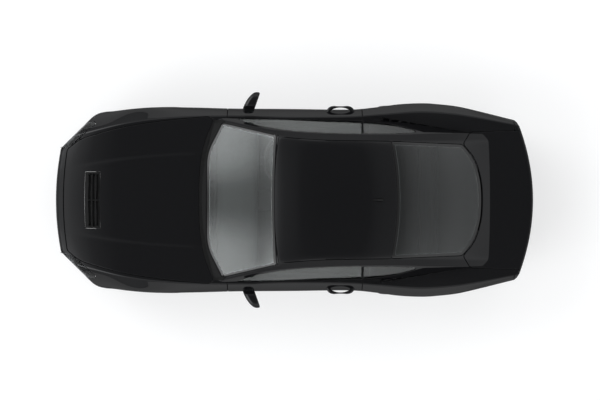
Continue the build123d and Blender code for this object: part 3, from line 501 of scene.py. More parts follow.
def finish(name, low, high, scale=40.0, rough=(0.4, 0.5), metal=0.0, bump=0.0, bumpScale=400.0, stretch=(1, 1, 1),
           **sockets):
    # colour runs between two shades with a noise on Object coordinates, roughness between two values with the
    # same noise, and a finer noise makes the bump
    made, tree, shader = nodeTree(name)
    noise = objectNoise(tree, scale, stretch=stretch)
    ramp = tree.nodes.new("ShaderNodeValToRGB")
    ramp.color_ramp.elements[0].position, ramp.color_ramp.elements[1].position = 0.35, 0.68
    ramp.color_ramp.elements[0].color = (*low, 1)
    ramp.color_ramp.elements[1].color = (*high, 1)
    tree.links.new(noise.outputs["Fac"], ramp.inputs["Fac"])
    tree.links.new(ramp.outputs["Color"], shader.inputs["Base Color"])
    spread = tree.nodes.new("ShaderNodeMapRange")
    spread.inputs["From Min"].default_value, spread.inputs["From Max"].default_value = 0.35, 0.68
    spread.inputs["To Min"].default_value, spread.inputs["To Max"].default_value = rough
    tree.links.new(noise.outputs["Fac"], spread.inputs["Value"])
    tree.links.new(spread.outputs["Result"], shader.inputs["Roughness"])
    if bump:
        fine, lift = objectNoise(tree, bumpScale, 4.0, stretch), tree.nodes.new("ShaderNodeBump")
        lift.inputs["Strength"].default_value = bump
        lift.inputs["Distance"].default_value = 0.0006
        tree.links.new(fine.outputs["Fac"], lift.inputs["Height"])
        tree.links.new(lift.outputs["Normal"], shader.inputs["Normal"])
    shader.inputs["Metallic"].default_value = metal
    for socket, value in sockets.items():
        shader.inputs[socket.replace("_", " ")].default_value = value
    return made


def coatByAngle(made, facingWeight, grazingWeight):
    # the clear coat mirrors less towards the outline of a form than a bare fresnel curve gives
    tree = made.node_tree
    weight, spread = tree.nodes.new("ShaderNodeLayerWeight"), tree.nodes.new("ShaderNodeMapRange")
    weight.inputs["Blend"].default_value = 0.5
    spread.inputs["From Min"].default_value, spread.inputs["From Max"].default_value = 0.25, 0.80
    spread.inputs["To Min"].default_value, spread.inputs["To Max"].default_value = facingWeight, grazingWeight
    tree.links.new(weight.outputs["Facing"], spread.inputs["Value"])
    tree.links.new(spread.outputs["Result"], tree.nodes["Principled BSDF"].inputs["Coat Weight"])


paint = finish("blackPaint", (0.0050, 0.0050, 0.0056), (0.0064, 0.0064, 0.0070), 90, (0.30, 0.34), bump=0.02,
               bumpScale=900, Specular_IOR_Level=0.0, Coat_Weight=0.62, Coat_Roughness=0.035, Coat_IOR=1.45)
coatByAngle(paint, 0.70, 0.10)
trim = finish("blackTrim", (0.005, 0.005, 0.005), (0.009, 0.009, 0.009), 60, (0.48, 0.60), bump=0.25, bumpScale=1400,
              Specular_IOR_Level=0.10)
glossTrim = finish("glossTrim", (0.005, 0.005, 0.005), (0.008, 0.008, 0.008), 50, (0.12, 0.16), bump=0.03,
                   Specular_IOR_Level=0.25)
rubber = finish("tyreRubber", (0.010, 0.010, 0.0105), (0.020, 0.020, 0.020), 30, (0.62, 0.80), bump=0.35, bumpScale=700)
seal = finish("windowSeal", (0.006, 0.006, 0.006), (0.010, 0.010, 0.010), 80, (0.5, 0.62), bump=0.15)
alloy = finish("wheelAlloy", (0.030, 0.030, 0.032), (0.044, 0.044, 0.047), 50, (0.22, 0.30), metal=0.9, bump=0.04)
iron = finish("brakeIron", (0.16, 0.155, 0.15), (0.26, 0.25, 0.24), 70, (0.32, 0.5), metal=1.0, bump=0.1)
steel = finish("chassisSteel", (0.020, 0.020, 0.021), (0.045, 0.044, 0.043), 14, (0.45, 0.7), metal=0.2, bump=0.3)
castAlloy = finish("engineAlloy", (0.20, 0.20, 0.20), (0.32, 0.32, 0.31), 25, (0.4, 0.6), metal=0.9, bump=0.4)
exhaustSteel = finish("exhaustSteel", (0.30, 0.29, 0.28), (0.46, 0.45, 0.43), 18, (0.22, 0.4), metal=1.0, bump=0.1)
leather = finish("seatLeather", (0.012, 0.012, 0.013), (0.022, 0.021, 0.021), 35, (0.45, 0.6), bump=0.6, bumpScale=520,
                 Sheen_Weight=0.15)
softPlastic = finish("dashPlastic", (0.012, 0.012, 0.0125), (0.020, 0.020, 0.021), 50, (0.55, 0.68), bump=0.4,
                     bumpScale=1100)
carpet = finish("floorCarpet", (0.010, 0.010, 0.010), (0.018, 0.018, 0.018), 90, (0.85, 0.95), bump=0.35, bumpScale=500,
                Sheen_Weight=0.3)
plateWhite = finish("plateWhite", (0.68, 0.68, 0.67), (0.74, 0.74, 0.73), 25, (0.3, 0.4), bump=0.05)
chromeSteel = finish("brightMetal", (0.5, 0.5, 0.5), (0.62, 0.62, 0.62), 40, (0.08, 0.14), metal=1.0)
lampWhite = finish("lampReflector", (0.55, 0.56, 0.58), (0.75, 0.76, 0.78), 90, (0.1, 0.2), metal=0.8)
lampRed = finish("lampRed", (0.16, 0.004, 0.004), (0.28, 0.008, 0.008), 120, (0.08, 0.14), bump=0.1, bumpScale=250,
                 Coat_Weight=1.0)
screen = finish("screenGlass", (0.004, 0.004, 0.005), (0.007, 0.007, 0.009), 30, (0.05, 0.09))


def tintedShade(tree, tint):
    # a faint noise keeps a pane's colour from being perfectly even
    noise, ramp = objectNoise(tree, 8), tree.nodes.new("ShaderNodeValToRGB")
    ramp.color_ramp.elements[0].color = (*tint, 1)
    ramp.color_ramp.elements[1].color = (*[min(c * 1.05, 1) for c in tint], 1)
    tree.links.new(noise.outputs["Fac"], ramp.inputs["Fac"])
    return ramp.outputs["Color"]


def glassFinish(name, tint, ior):
    made, tree, shader = nodeTree(name)
    tree.links.new(tintedShade(tree, tint), shader.inputs["Base Color"])
    shader.inputs["Roughness"].default_value = 0.0
    shader.inputs["Transmission Weight"].default_value = 1.0
    shader.inputs["IOR"].default_value = ior
    return made


clearGlass = glassFinish("sideGlass", (0.50, 0.56, 0.54), ior=1.22)
darkGlass = glassFinish("privacyGlass", (0.34, 0.38, 0.37), ior=1.22)
lampGlass = glassFinish("smokedLens", (0.30, 0.31, 0.32), ior=1.30)
print("materials made")


# shut lines and window outlines, in metres, as the parts have them
bonnetLine = roundedOutline(np.array([
    (-2277, -505), (-2306, -280), (-2318, 0), (-2306, 280), (-2277, 505), (-2150, 610), (-1732, 735), (-1227, 806),
    (-850, 836), (-802, 806), (-905, 560), (-945, 300), (-950, 0), (-945, -300), (-905, -560), (-802, -806),
    (-850, -836), (-1227, -806), (-1732, -735), (-2150, -610)]) * 0.001, 0.020)
ventLine = roundedOutline(np.array([
    (-2096, -285), (-2105, 0), (-2096, 285), (-1940, 285), (-1955, 0), (-1940, -285)]) * 0.001, 0.010)
bootLine = roundedOutline(np.array([
    (1702, 560), (1775, 677), (2050, 690), (2500, 690), (2500, -690), (2050, -690), (1775, -677), (1702, -560),
    (1822, -420), (1885, -220), (1899, 0), (1885, 220), (1822, 420)]) * 0.001, 0.025)
screenLine = roundedOutline(np.array([
    (-868, -400), (-868, 400), (-840, 520), (-712, 770), (-690, 774), (-167, 650), (-182, 330), (-187, 0),
    (-182, -330), (-167, -650), (-690, -774), (-712, -770), (-840, -520)]) * 0.001, 0.020)
cowlLine = roundedOutline(np.array([
    (-1000, 600), (-836, 806), (-704, 806), (-680, 774), (-680, -774), (-704, -806), (-836, -806),
    (-1000, -600)]) * 0.001, 0.008)
rearScreenLine = roundedOutline(np.array([
    (975, -583), (1020, -300), (1035, 0), (1020, 300), (975, 583), (1690, 556), (1808, 412), (1872, 215), (1886, 0),
    (1872, -215), (1808, -412), (1690, -556)]) * 0.001, 0.030)
roofLine = roundedOutline(np.array([
    (-140, 628), (-182, 330), (-187, 0), (-182, -330), (-140, -628), (250, -592), (650, -588), (975, -583),
    (1020, -300), (1035, 0), (1020, 300), (975, 583), (650, 588), (250, 592)]) * 0.001, 0.012)
doorLine = roundedOutline(np.array([
    (-660, 980), (-660, 236), (540, 236), (640, 420), (690, 700), (690, 980), (0, 980)]) * 0.001, 0.035)
doorGlassLine = roundedOutline(np.array([
    (-560, 951.5), (-395, 1092), (-150, 1215), (50, 1262), (300, 1283), (682, 1266), (682, 966), (0, 960)]) * 0.001,
    0.010)
quarterLine = roundedOutline(np.array([
    (702, 975), (702, 1258), (950, 1218), (1215, 1150), (1225, 1112), (1000, 1020)]) * 0.001, 0.020)
print("outlines eased")


def plan(outline, grow=0.0):
    return lambda p: insideDistance(outline, p[:, 0], p[:, 1]) + grow


def sideOn(outline, grow=0.0):
    return lambda p: insideDistance(outline, p[:, 0], p[:, 2]) + grow


def outsideOf(field, gap=car["shutGap"]):
    return lambda p: -field(p) - gap


def clearOfArches(p):
    front = np.hypot(p[:, 0] - car["frontAxleX"], p[:, 2] - car["frontTyreRadius"]) - car["archRadius"]
    rear = np.hypot(p[:, 0] - car["rearAxleX"], p[:, 2] - car["rearTyreRadius"]) - car["archRadius"]
    return np.minimum(front, rear)


def boxField(x=(-9, 9), y=(-9, 9), z=(-9, 9)):
    return lambda p: np.min([p[:, 0] - x[0], x[1] - p[:, 0], p[:, 1] - y[0], y[1] - p[:, 1], p[:, 2] - z[0],
                             z[1] - p[:, 2]], axis=0)


cabin = {"front": -0.955, "rear": 2.045, "low": 0.70}


def inCabin(p):
    return np.min([p[:, 0] - cabin["front"], cabin["rear"] - p[:, 0], p[:, 2] - cabin["low"]], axis=0)


def outsideHouse(p):
    return np.maximum(p[:, 2] - houseTopZ(p[:, 0], p[:, 1]), -inCabin(p))


def besideHouse(p):
    # everything but the part of the lower body that lies more than 45 mm inside the belt of the glasshouse
    belt = columnsAt(houseTable, p[:, 0])[0]
    return np.maximum(np.abs(p[:, 1]) - belt + 0.045, -inCabin(p))


def aboveBody(p):
    return p[:, 2] - crownZ(p[:, 0], p[:, 1])


def vSteps(*spans):
    # grid lines round the section, closer beside each corner
    lines = [np.linspace(a, b, n) for a, b, n in spans]
    beside = (-0.024, -0.012, -0.006, 0, 0.006, 0.012, 0.024)
    near = [np.round(end) + k for a, b, _ in spans for end in (a, b) for k in beside]
    low, high = min(s[0] for s in spans), max(s[1] for s in spans)
    return np.unique(np.round([v for v in np.concatenate(lines + [near]) if low <= v <= high], 4))


crownLines = vSteps((2.7, 3, 12), (3, 4, 46), (4, 5, 46), (5, 5.3, 12))
sideLines = vSteps((0.7, 1, 4), (1, 2, 7), (2, 3, 44), (3, 3.6, 26))
roundLines = vSteps((0, 1, 18), (1, 2, 6), (2, 3, 36), (3, 4, 36), (4, 5, 36), (5, 6, 36), (6, 7, 6), (7, 8, 18))
houseLines = vSteps((2, 3, 6), (3, 4, 34), (4, 5, 34), (5, 6, 6))
flankLines = vSteps((0.7, 1, 8), (1, 2, 20), (2, 3, 8), (3, 3.5, 16))


def panel(name, sheets, node, body, finishMaterial, depth=car["panelDepth"]):
    points, normals, faces = closedShell(sheets, depth)
    made = meshObject(name, points, faces, finishMaterial)
    rimNormals(made, sheets, points, normals)
    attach(made, body)
    if node:
        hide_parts(node)
    return made


def rimNormals(made, sheets, points, normals):
    # outer skin keeps the surface's own normals, the inner skin and the rim take their faces' own
    mesh = made.data
    outer = np.zeros(len(points), bool)
    start = 0
    for p, _, _, _ in sheets:
        outer[start:start + len(p)] = True
        start += 2 * len(p)
    corners = np.empty(len(mesh.loops), np.int32)
    mesh.loops.foreach_get("vertex_index", corners)
    corners = corners.reshape(-1, 3)
    isOuter = outer[corners].all(axis=1)
    a, b, c = points[corners[:, 0]], points[corners[:, 1]], points[corners[:, 2]]
    flat = np.cross(b - a, c - a)
    flat = flat / np.maximum(np.linalg.norm(flat, axis=1, keepdims=True), 1e-15)
    n = normals[corners] / np.maximum(np.linalg.norm(normals[corners], axis=2, keepdims=True), 1e-12)
    isInner = (~outer[corners]).all(axis=1)
    each = np.where(isOuter[:, None, None] | isInner[:, None, None], n, flat[:, None, :])
    mesh.normals_split_custom_set(each.reshape(-1, 3).tolist())


def bothSides(make):
    for side, way in (("right", 1), ("left", -1)):
        make(side, way)


def mirrored(sheet):
    p, n, f, d = sheet
    flip = np.array([1, -1, 1])
    return p * flip, n * flip, f[:, ::-1], d


lampPlan = roundedOutline(np.array([
    (-2500, 516), (-2330, 516), (-2262, 548), (-2150, 622), (-1995, 768), (-2050, 900), (-2500, 900)]) * 0.001, 0.006)
lampSide = np.array([(-2500, 612), (-2300, 612), (-1960, 745), (-1960, 900), (-2500, 900)]) * 0.001


def lampPocket(way):
    return lambda p: np.minimum(insideDistance(lampPlan, p[:, 0], way * p[:, 1]),
                                insideDistance(lampSide, p[:, 0], p[:, 2]))


# bonnet and its outlet
ventField = plan(ventLine)
bonnetSheet = outerSheet(lowerBody, -2.40, -0.78, crownLines, [plan(bonnetLine), outsideOf(ventField, 0.001)])
panel("bonnet.skin", [bonnetSheet], "bonnet", "bonnet_lid", paint)

vent = {"pitch": 0.040, "first": -2.062, "slant": 0.018, "slots": 3, "slot": 0.60, "wall": 0.05, "drop": 0.022,
        "half": 0.263, "rib": 0.006, "fade": 0.003, "lip": 0.006, "lipFront": -2.095, "lipRise": 0.030,
        "lipHalf": 0.283, "lipFade": 0.02}


def ventSurface(u, v):
    # the bonnet's surface with a raised lip along the front edge, and behind it three deep slots with slats
    # between them, either side of a thin middle rib
    p = lowerBody(u, v)
    across = np.abs(p[..., 1])
    s = (p[..., 0] - vent["first"] - vent["slant"] * across) / vent["pitch"]
    share = s - np.floor(s)
    deep = np.clip(share / vent["wall"], 0, 1) * np.clip((vent["slot"] - share) / vent["wall"], 0, 1)
    deep = deep * (s > 0) * (s < vent["slots"]) * np.clip((vent["half"] - across) / vent["fade"], 0, 1)
    deep = deep * np.clip((across - vent["rib"]) / vent["fade"], 0, 1)
    t = np.clip((p[..., 0] - vent["lipFront"]) / vent["lipRise"], 0, 1)
    lip = vent["lip"] * t * t * (3 - 2 * t) * np.clip(1 - s * 1.5, 0, 1) ** 0.5
    lip = lip * np.clip((vent["lipHalf"] - across) / vent["lipFade"], 0, 1)
    p[..., 2] += np.nan_to_num(lip) - vent["drop"] * deep
    return p


ventLines = np.unique(np.concatenate([crownLines, np.linspace(3.4, 4.6, 300), 4 + np.linspace(-0.03, 0.03, 25)]))


def fineRows(surface):
    # the same surface over a grid four times finer along the car
    return lambda u, v: surface(u / 4, v)


ventSheet = outerSheet(fineRows(ventSurface), -2.13 * 4, -1.92 * 4, ventLines, [plan(ventLine, -0.001)])
panel("bonnet.louvres", [ventSheet], "bonnet_vent", "bonnet_lid", trim, 0.010)
print("bonnet made")

# wings, doors and sides
bonnetField, bootField, doorField, cowlField = plan(bonnetLine), plan(bootLine), sideOn(doorLine), plan(cowlLine)


def haunchLine(level):
    return lambda p: np.where(p[:, 2] > 0.80, insideHaunch(p[:, 0], p[:, 1]) - level, -1.0)


haunchLines = [haunchLine(level) for level in (-0.004, 0.0, 0.004, 0.010, 0.015, 0.020, 0.026, 0.030, 0.034)]
wingSheet = outerSheet(lowerBody, -2.30, -0.64, sideLines, [
    outsideOf(bonnetField), outsideOf(cowlField, 0.001), outsideOf(lampPocket(1), 0.002), clearOfArches,
    boxField(x=(-2.147, -0.666), y=(0.3, 2), z=(0.228, 2)), outsideHouse])
doorSheet = outerSheet(lowerBody, -0.70, 0.72, sideLines, [doorField, lambda p: outsideHouse(p) - 0.004])
backSheet = outerSheet(lowerBody, 0.45, 2.35, sideLines, [
    outsideOf(doorField), outsideOf(bootField), clearOfArches, boxField(x=(0.4, 2.212), y=(0.2, 2), z=(0.228, 2))],
    [besideHouse], haunchLines)
sillSheet = outerSheet(lowerBody, -1.2, 0.82, sideLines, [
    clearOfArches, boxField(x=(-1.115, 0.785), y=(0.72, 2), z=(0.166, 0.2275))])
railSheet = outerSheet(house, -0.955, 2.03, flankLines, [
    outsideOf(sideOn(doorGlassLine), 0.004), outsideOf(sideOn(quarterLine), 0.003), outsideOf(plan(screenLine), 0.003),
    outsideOf(plan(rearScreenLine), 0.003), outsideOf(plan(roofLine), 0.0025), outsideOf(bonnetField),
    outsideOf(cowlField, 0.001),
    outsideOf(bootField), boxField(x=(-0.95, 2.02), y=(0.2, 2))], [lambda p: aboveBody(p) + 0.022])


def makeSide(side, way):
    pick = (lambda s: s) if way > 0 else mirrored
    panel("wing." + side, [pick(wingSheet)], "front_wing_" + side, "body", paint)
    panel("quarter." + side, [pick(backSheet), pick(railSheet), pick(sillSheet)], "side_frame_" + side, "body", paint)


bothSides(makeSide)
print("wings and sides made")

# doors: the outer skin closed by an inner trim at the cabin side
doorTrim = {"innerY": 0.792, "armrestZ": 0.665, "armrestOut": 0.052, "pocketZ": 0.335, "pocketOut": 0.034}


def plateau(x, centre, half, soft):
    # 1 within half of the centre, fading to 0 over soft on each side
    return smoothStep((half + soft - np.abs(x - centre)) / soft)


def trimDepth(p):
    # the inner face: a flat at innerY, with an armrest, a map pocket and a crowned middle standing towards the cabin
    x, z = p[:, 0], p[:, 2]
    out = doorTrim["armrestOut"] * plateau(x, 0.06, 0.33, 0.10) * plateau(z, doorTrim["armrestZ"], 0.030, 0.022)
    out = out + doorTrim["pocketOut"] * plateau(x, 0.02, 0.36, 0.12) * plateau(z, doorTrim["pocketZ"], 0.055, 0.025)
    out = out + 0.010 * plateau(x, 0.0, 0.45, 0.15) * plateau(z, 0.80, 0.05, 0.05)
    side = np.sign(p[:, 1])
    return np.stack([x, side * np.minimum(doorTrim["innerY"] - out, np.abs(p[:, 1]) - 0.006), z], axis=1)


def makeDoor(side, way):
    sheet = doorSheet if way > 0 else mirrored(doorSheet)
    made = panel("door.skin." + side, [sheet], "door_" + side, side + "_door", paint, trimDepth)
    made.data.materials.append(softPlastic)
    across = np.empty(len(made.data.polygons) * 3)
    made.data.polygons.foreach_get("center", across)
    across = np.abs(across.reshape(-1, 3)[:, 1])
    made.data.polygons.foreach_set("material_index", (across < 0.802).astype(np.int32))


bothSides(makeDoor)
print("doors made")

# bumpers, boot lid, cowl and roof
rearLamps = {"half": 0.030, "rows": (0.470, 0.555, 0.640), "low": 0.850, "high": 0.960}
plate = {"opening": (-0.263, 0.263, 0.602, 0.719), "seat": (-0.2635, 0.2635, 0.6015, 0.7195),
         "blank": (-0.2598, 0.2598, 0.6052, 0.7158), "rearX": 2.372, "frontX": 2.3755}


def roundedBox(y0, y1, z0, z1, r, x=(-9, 9)):
    # distance inside a rectangle across the car with corners of radius r
    def field(p):
        a = np.abs(p[:, 1] - (y0 + y1) / 2) - (y1 - y0) / 2 + r
        b = np.abs(p[:, 2] - (z0 + z1) / 2) - (z1 - z0) / 2 + r
        d = r - np.hypot(np.maximum(a, 0), np.maximum(b, 0)) - np.minimum(np.maximum(a, b), 0)
        return np.minimum(d, np.minimum(p[:, 0] - x[0], x[1] - p[:, 0]))
    return field


def union(*fields):
    return lambda p: np.max([field(p) for field in fields], axis=0)


def overlap(*fields):
    return lambda p: np.min([field(p) for field in fields], axis=0)


upperIntake = roundedBox(-0.470, 0.470, 0.560, 0.676, 0.030, (-9, -2.2))
lowerIntake = roundedBox(-0.400, 0.400, 0.235, 0.330, 0.020, (-9, -2.2))


def lampField(way, y):
    y0, y1 = sorted((way * (y - rearLamps["half"]), way * (y + rearLamps["half"])))
    return roundedBox(y0, y1, rearLamps["low"], rearLamps["high"], 0.008, (2.2, 9))


rearLampFields = [lampField(way, y) for way in (1, -1) for y in rearLamps["rows"]]
plateSeat = roundedBox(*plate["opening"], 0.006, (2.2, 9))
notch = {"y": 0.560, "half": 0.054, "top": 0.299, "corner": 0.050}
notches = [roundedBox(way * notch["y"] - notch["half"], way * notch["y"] + notch["half"], -0.2, notch["top"],
                      notch["corner"], (2.2, 9)) for way in (1, -1)]


def bootFace(p):
    # the part of the lid that comes down over the tail's face
    return np.min([0.430 - np.abs(p[:, 1]), p[:, 2] - 0.830, p[:, 0] - 2.2], axis=0)


bootRegion = union(overlap(bootField, lambda p: p[:, 2] - 0.985), bootFace)


def endFace(face, way):
    # the middle of a bumper: u runs across the car and v up it, on the nose or tail face
    return lambda u, v: np.stack([face(way * u, v), way * u, v], axis=-1)


def bumperSheets(u0, u1, face, way, middle, fields):
    # a bumper in two sheets that meet on the face: one carried round the sides, one laid over the middle
    y0, y1, z0, z1 = middle
    onFace = roundedBox(y0, y1, z0, z1, 0.040, (-9, -2.1) if way < 0 else (2.1, 9))
    heights = np.arange(z0 - 0.02, z1 + 0.03, 0.015)
    return [outerSheet(lowerBody, u0, u1, roundLines, fields, [outsideOf(onFace, 0)]),
            outerSheet(endFace(face, way), y0 - 0.02, y1 + 0.02, heights, fields, [onFace])]


noseFields = [boxField(x=(-9, -2.153), z=(0.160, 9)), outsideOf(bonnetField), outsideOf(upperIntake, 0.001),
              outsideOf(lowerIntake, 0.001), outsideOf(lampPocket(1), 0.002), outsideOf(lampPocket(-1), 0.002)]
noseSheets = bumperSheets(-2.98, -2.05, noseX, -1, (-0.800, 0.800, 0.080, 0.640), noseFields)
panel("bumper.front", noseSheets, "front_bumper", "body", paint, 0.024)
tailFields = [boxField(x=(2.218, 9), z=(0.264, 9)), outsideOf(bootRegion, 0.005), outsideOf(plateSeat, 0)]
tailFields += [outsideOf(f, 0.0012) for f in rearLampFields] + [outsideOf(f, 0) for f in notches]
tailSheets = bumperSheets(2.10, 2.98, tailX, 1, (-0.690, 0.690, 0.200, 0.970), tailFields)
panel("bumper.rear", tailSheets, "rear_bumper", "body", paint, 0.024)
bootSheet = outerSheet(fineRows(lowerBody), 1.66 * 4, 2.75 * 4, crownLines, [bootRegion, boxField(x=(1.0, 9))],
                       [lambda p: outsideHouse(p) + 0.030])
bootRise = outerSheet(house, 1.60, 2.10, houseLines, [bootRegion, outsideOf(plan(rearScreenLine), 0.003)],
                      [lambda p: aboveBody(p) + 0.018])
panel("boot.skin", [bootSheet, bootRise], "boot_lid", "boot", paint)
cowlSheet = outerSheet(lowerBody, -1.0, -0.66, crownLines, [
    outsideOf(bonnetField, 0.004), cowlField], [outsideHouse])
cowlEdge = outerSheet(house, -0.955, -0.66, houseLines, [
    outsideOf(bonnetField, 0.004), cowlField, outsideOf(plan(screenLine), 0.003)], [aboveBody])
panel("cowl.panel", [cowlSheet, cowlEdge], "cowl_panel", "body", trim, 0.012)
roofSheet = outerSheet(house, -0.22, 1.08, houseLines, [plan(roofLine)])
panel("roof.skin", [roofSheet], "roof_panel", "body", paint)


# channels under the shut lines of the lids, and the jambs that show when a door is open
def inset(surface, depth):
    return lambda u, v: surface(u, v) - normalOf(surface, u, v) * depth


def alongLine(outline, outer, inner):
    # a band that follows an outline, from outer outside it to inner inside it
    def field(p):
        d = insideDistance(outline, p[:, 0], p[:, 1])
        return np.minimum(d + outer, inner - d)
    return field


gutter = {"depth": 0.034, "outer": 0.040, "inner": 0.030, "thick": 0.003}
channels = [
    outerSheet(inset(lowerBody, gutter["depth"]), -2.36, -0.70, crownLines, [
        alongLine(bonnetLine, gutter["outer"], gutter["inner"]),
        boxField(x=(-2.34, -0.70), y=(-0.84, 0.84), z=(0.6, 2))]),
    outerSheet(inset(lowerBody, gutter["depth"]), 1.60, 2.34, crownLines, [
        alongLine(bootLine, gutter["outer"], gutter["inner"]),
        boxField(x=(1.66, 2.33), y=(-0.75, 0.75), z=(0.8, 2))])]
for seamX, u0, u1 in ((-2.150, -2.36, -2.04), (2.215, 2.14, 2.36)):
    band = outerSheet(inset(lowerBody, 0.027), u0, u1, sideLines, [
        outsideOf(bonnetField), outsideOf(bootField), outsideOf(lampPocket(1), -0.030),
        boxField(x=(seamX - 0.030, seamX + 0.030), y=(0.3, 2), z=(0.245 if seamX < 0 else 0.285, 2))])
    channels += [band, mirrored(band)]
panel("shut.channels", channels, None, "body", trim, gutter["thick"])

jambs = {
    "sill": ([(-1.112, 0.766), (0.782, 0.766), (0.782, 0.834), (-0.60, 0.842), (-1.112, 0.846)], 0.168, 0.227),
    "hingePost": ([(-0.735, 0.789), (-0.668, 0.789), (-0.668, 0.836), (-0.735, 0.836)], 0.226, 0.868),
    "lockPost": ([(0.699, 0.766), (0.799, 0.766), (0.799, 0.824), (0.699, 0.824)], 0.226, 0.925),
}
print("bumpers, lids and roof made")


# glass: panes set 4 mm below the surface around them, 5 mm thick, with a dark printed band along the edge
def frittedGlass(name, tint, band):
    # within the band from the edge the pane is opaque black; the attribute edgeDistance carries the distance
    made, tree, shader = nodeTree(name)
    attribute, ramp = tree.nodes.new("ShaderNodeAttribute"), tree.nodes.new("ShaderNodeMapRange")
    attribute.attribute_name = "edgeDistance"
    ramp.inputs["From Min"].default_value, ramp.inputs["From Max"].default_value = band * 0.86, band
    tree.links.new(attribute.outputs["Fac"], ramp.inputs["Value"])
    mix = tree.nodes.new("ShaderNodeMixRGB")
    mix.inputs["Color1"].default_value = (0.004, 0.004, 0.004, 1)
    tree.links.new(ramp.outputs["Result"], mix.inputs["Fac"])
    tree.links.new(tintedShade(tree, tint), mix.inputs["Color2"])
    tree.links.new(mix.outputs["Color"], shader.inputs["Base Color"])
    tree.links.new(ramp.outputs["Result"], shader.inputs["Transmission Weight"])
    shader.inputs["Roughness"].default_value = 0.0
    shader.inputs["IOR"].default_value = 1.5
    return made


screenGlass = frittedGlass("screenGlass", (0.78, 0.84, 0.82), 0.032)
rearGlass = frittedGlass("rearScreenGlass", (0.24, 0.27, 0.265), 0.035)


glazing = {"set": 0.004, "thick": 0.005}


def pane(name, u0, u1, line, node, material):
    sheet = outerSheet(inset(house, glazing["set"]), u0, u1, houseLines,
                       [plan(line, -0.001), lambda p: aboveBody(p) - 0.001])
    made = panel(name, [sheet], node, "body", material, glazing["thick"])
    distance = np.concatenate([sheet[3], sheet[3]]).astype(np.float32)
    made.data.attributes.new("edgeDistance", "FLOAT", "POINT").data.foreach_set("value", distance)
    return made


pane("windscreen.pane", -0.90, -0.14, screenLine, "windscreen", screenGlass)
pane("rearScreen.pane", 0.95, 1.90, rearScreenLine, "rear_window", rearGlass)


def sidePane(u0, u1, line):
    return outerSheet(inset(house, glazing["set"]), u0, u1, flankLines, [sideOn(line, -0.001), boxField(y=(0.3, 2))])


quarterPane, doorPane = sidePane(0.68, 1.25, quarterLine), sidePane(-0.58, 0.70, doorGlassLine)
panel("quarter.pane", [quarterPane, mirrored(quarterPane)], "quarter_glass", "body", darkGlass,
      glazing["thick"])


def makeDoorGlass(side, way):
    panel("door.pane." + side, [doorPane if way > 0 else mirrored(doorPane)], "door_glass_" + side, side + "_door",
          clearGlass, glazing["thick"])


bothSides(makeDoorGlass)
print("glass made")


# general surfaces: turned shapes, swept tubes and rounded blocks
def ringFaces(rings, around, swap=False):
    # quads between rings of points; swapped, each runs the other way round
    k = np.arange(rings * around).reshape(rings, around)
    nxt = np.roll(k, -1, axis=1)
    first, second = (k[1:], nxt[:-1]) if swap else (nxt[:-1], k[1:])
    return k, nxt, np.stack([k[:-1], first, nxt[1:], second], axis=-1).reshape(-1, 4)


def closedFaces(shape):
    # quads of a grid that closes on itself both ways, over the last two directions of its shape
    k = np.arange(math.prod(shape)).reshape(shape)
    right, down = np.roll(k, -1, axis=-1), np.roll(k, -1, axis=-2)
    return np.stack([k, right, np.roll(down, -1, axis=-1), down], axis=-1).reshape(-1, 4)


def turned(name, profile, centre, material, around=96, axis=1):
    # closed outline of (radius, along) turned about an axle through the centre
    r, along = np.array(profile, float).T
    a = np.linspace(0, 2 * math.pi, around, endpoint=False)
    ring = np.stack([r[:, None] * np.cos(a), np.repeat(along[:, None], around, 1), r[:, None] * np.sin(a)], axis=-1)
    if axis == 0:
        ring = ring[..., [1, 0, 2]]
    elif axis == 2:
        ring = ring[..., [0, 2, 1]]
    points = ring.reshape(-1, 3) + np.array(centre)
    return outwards(meshObject(name, points, closedFaces((len(r), around)), material))


def outwards(made):
    # merges doubled points and points every face outwards
    b = bmesh.new()
    b.from_mesh(made.data)
    bmesh.ops.remove_doubles(b, verts=b.verts, dist=1e-6)
    bmesh.ops.dissolve_degenerate(b, edges=b.edges, dist=1e-7)
    bmesh.ops.recalc_face_normals(b, faces=b.faces)
    b.to_mesh(made.data)
    b.free()
    made.data.polygons.foreach_set("use_smooth", np.ones(len(made.data.polygons), bool))
    return made


def smoothByAngle(made, degrees=35):
    # edges sharper than the angle stay crisp
    made.data.set_sharp_from_angle(angle=math.radians(degrees))
    return made


def joined(name, pieces):
    # several meshes become one object, with one material slot for each finish
    b = bmesh.new()
    slots = []
    for piece in pieces:
        start = len(b.faces)
        b.from_mesh(piece.data)
        b.faces.ensure_lookup_table()
        found = piece.data.materials[0]
        if found not in slots:
            slots.append(found)
        for face in b.faces[start:]:
            face.material_index = slots.index(found)
    mesh = bpy.data.meshes.new(name)
    b.to_mesh(mesh)
    b.free()
    for found in slots:
        mesh.materials.append(found)
    for piece in pieces:
        old = piece.data
        bpy.data.objects.remove(piece)
        bpy.data.meshes.remove(old)
    made = bpy.data.objects.new(name, mesh)
    bpy.context.scene.collection.objects.link(made)
    return made


def capped(name, rings, ends, material):
    # rings of a tube joined by quads, and closed by a fan at each end
    points = np.vstack([rings.reshape(-1, 3), ends])
    k, nxt, quads = ringFaces(*rings.shape[:2], True)
    first, last = len(points) - 2, len(points) - 1
    fans = [(first, a, b) for a, b in zip(k[0], nxt[0])] + [(last, b, a) for a, b in zip(k[-1], nxt[-1])]
    return outwards(meshObject(name, points, quads.tolist() + fans, material))


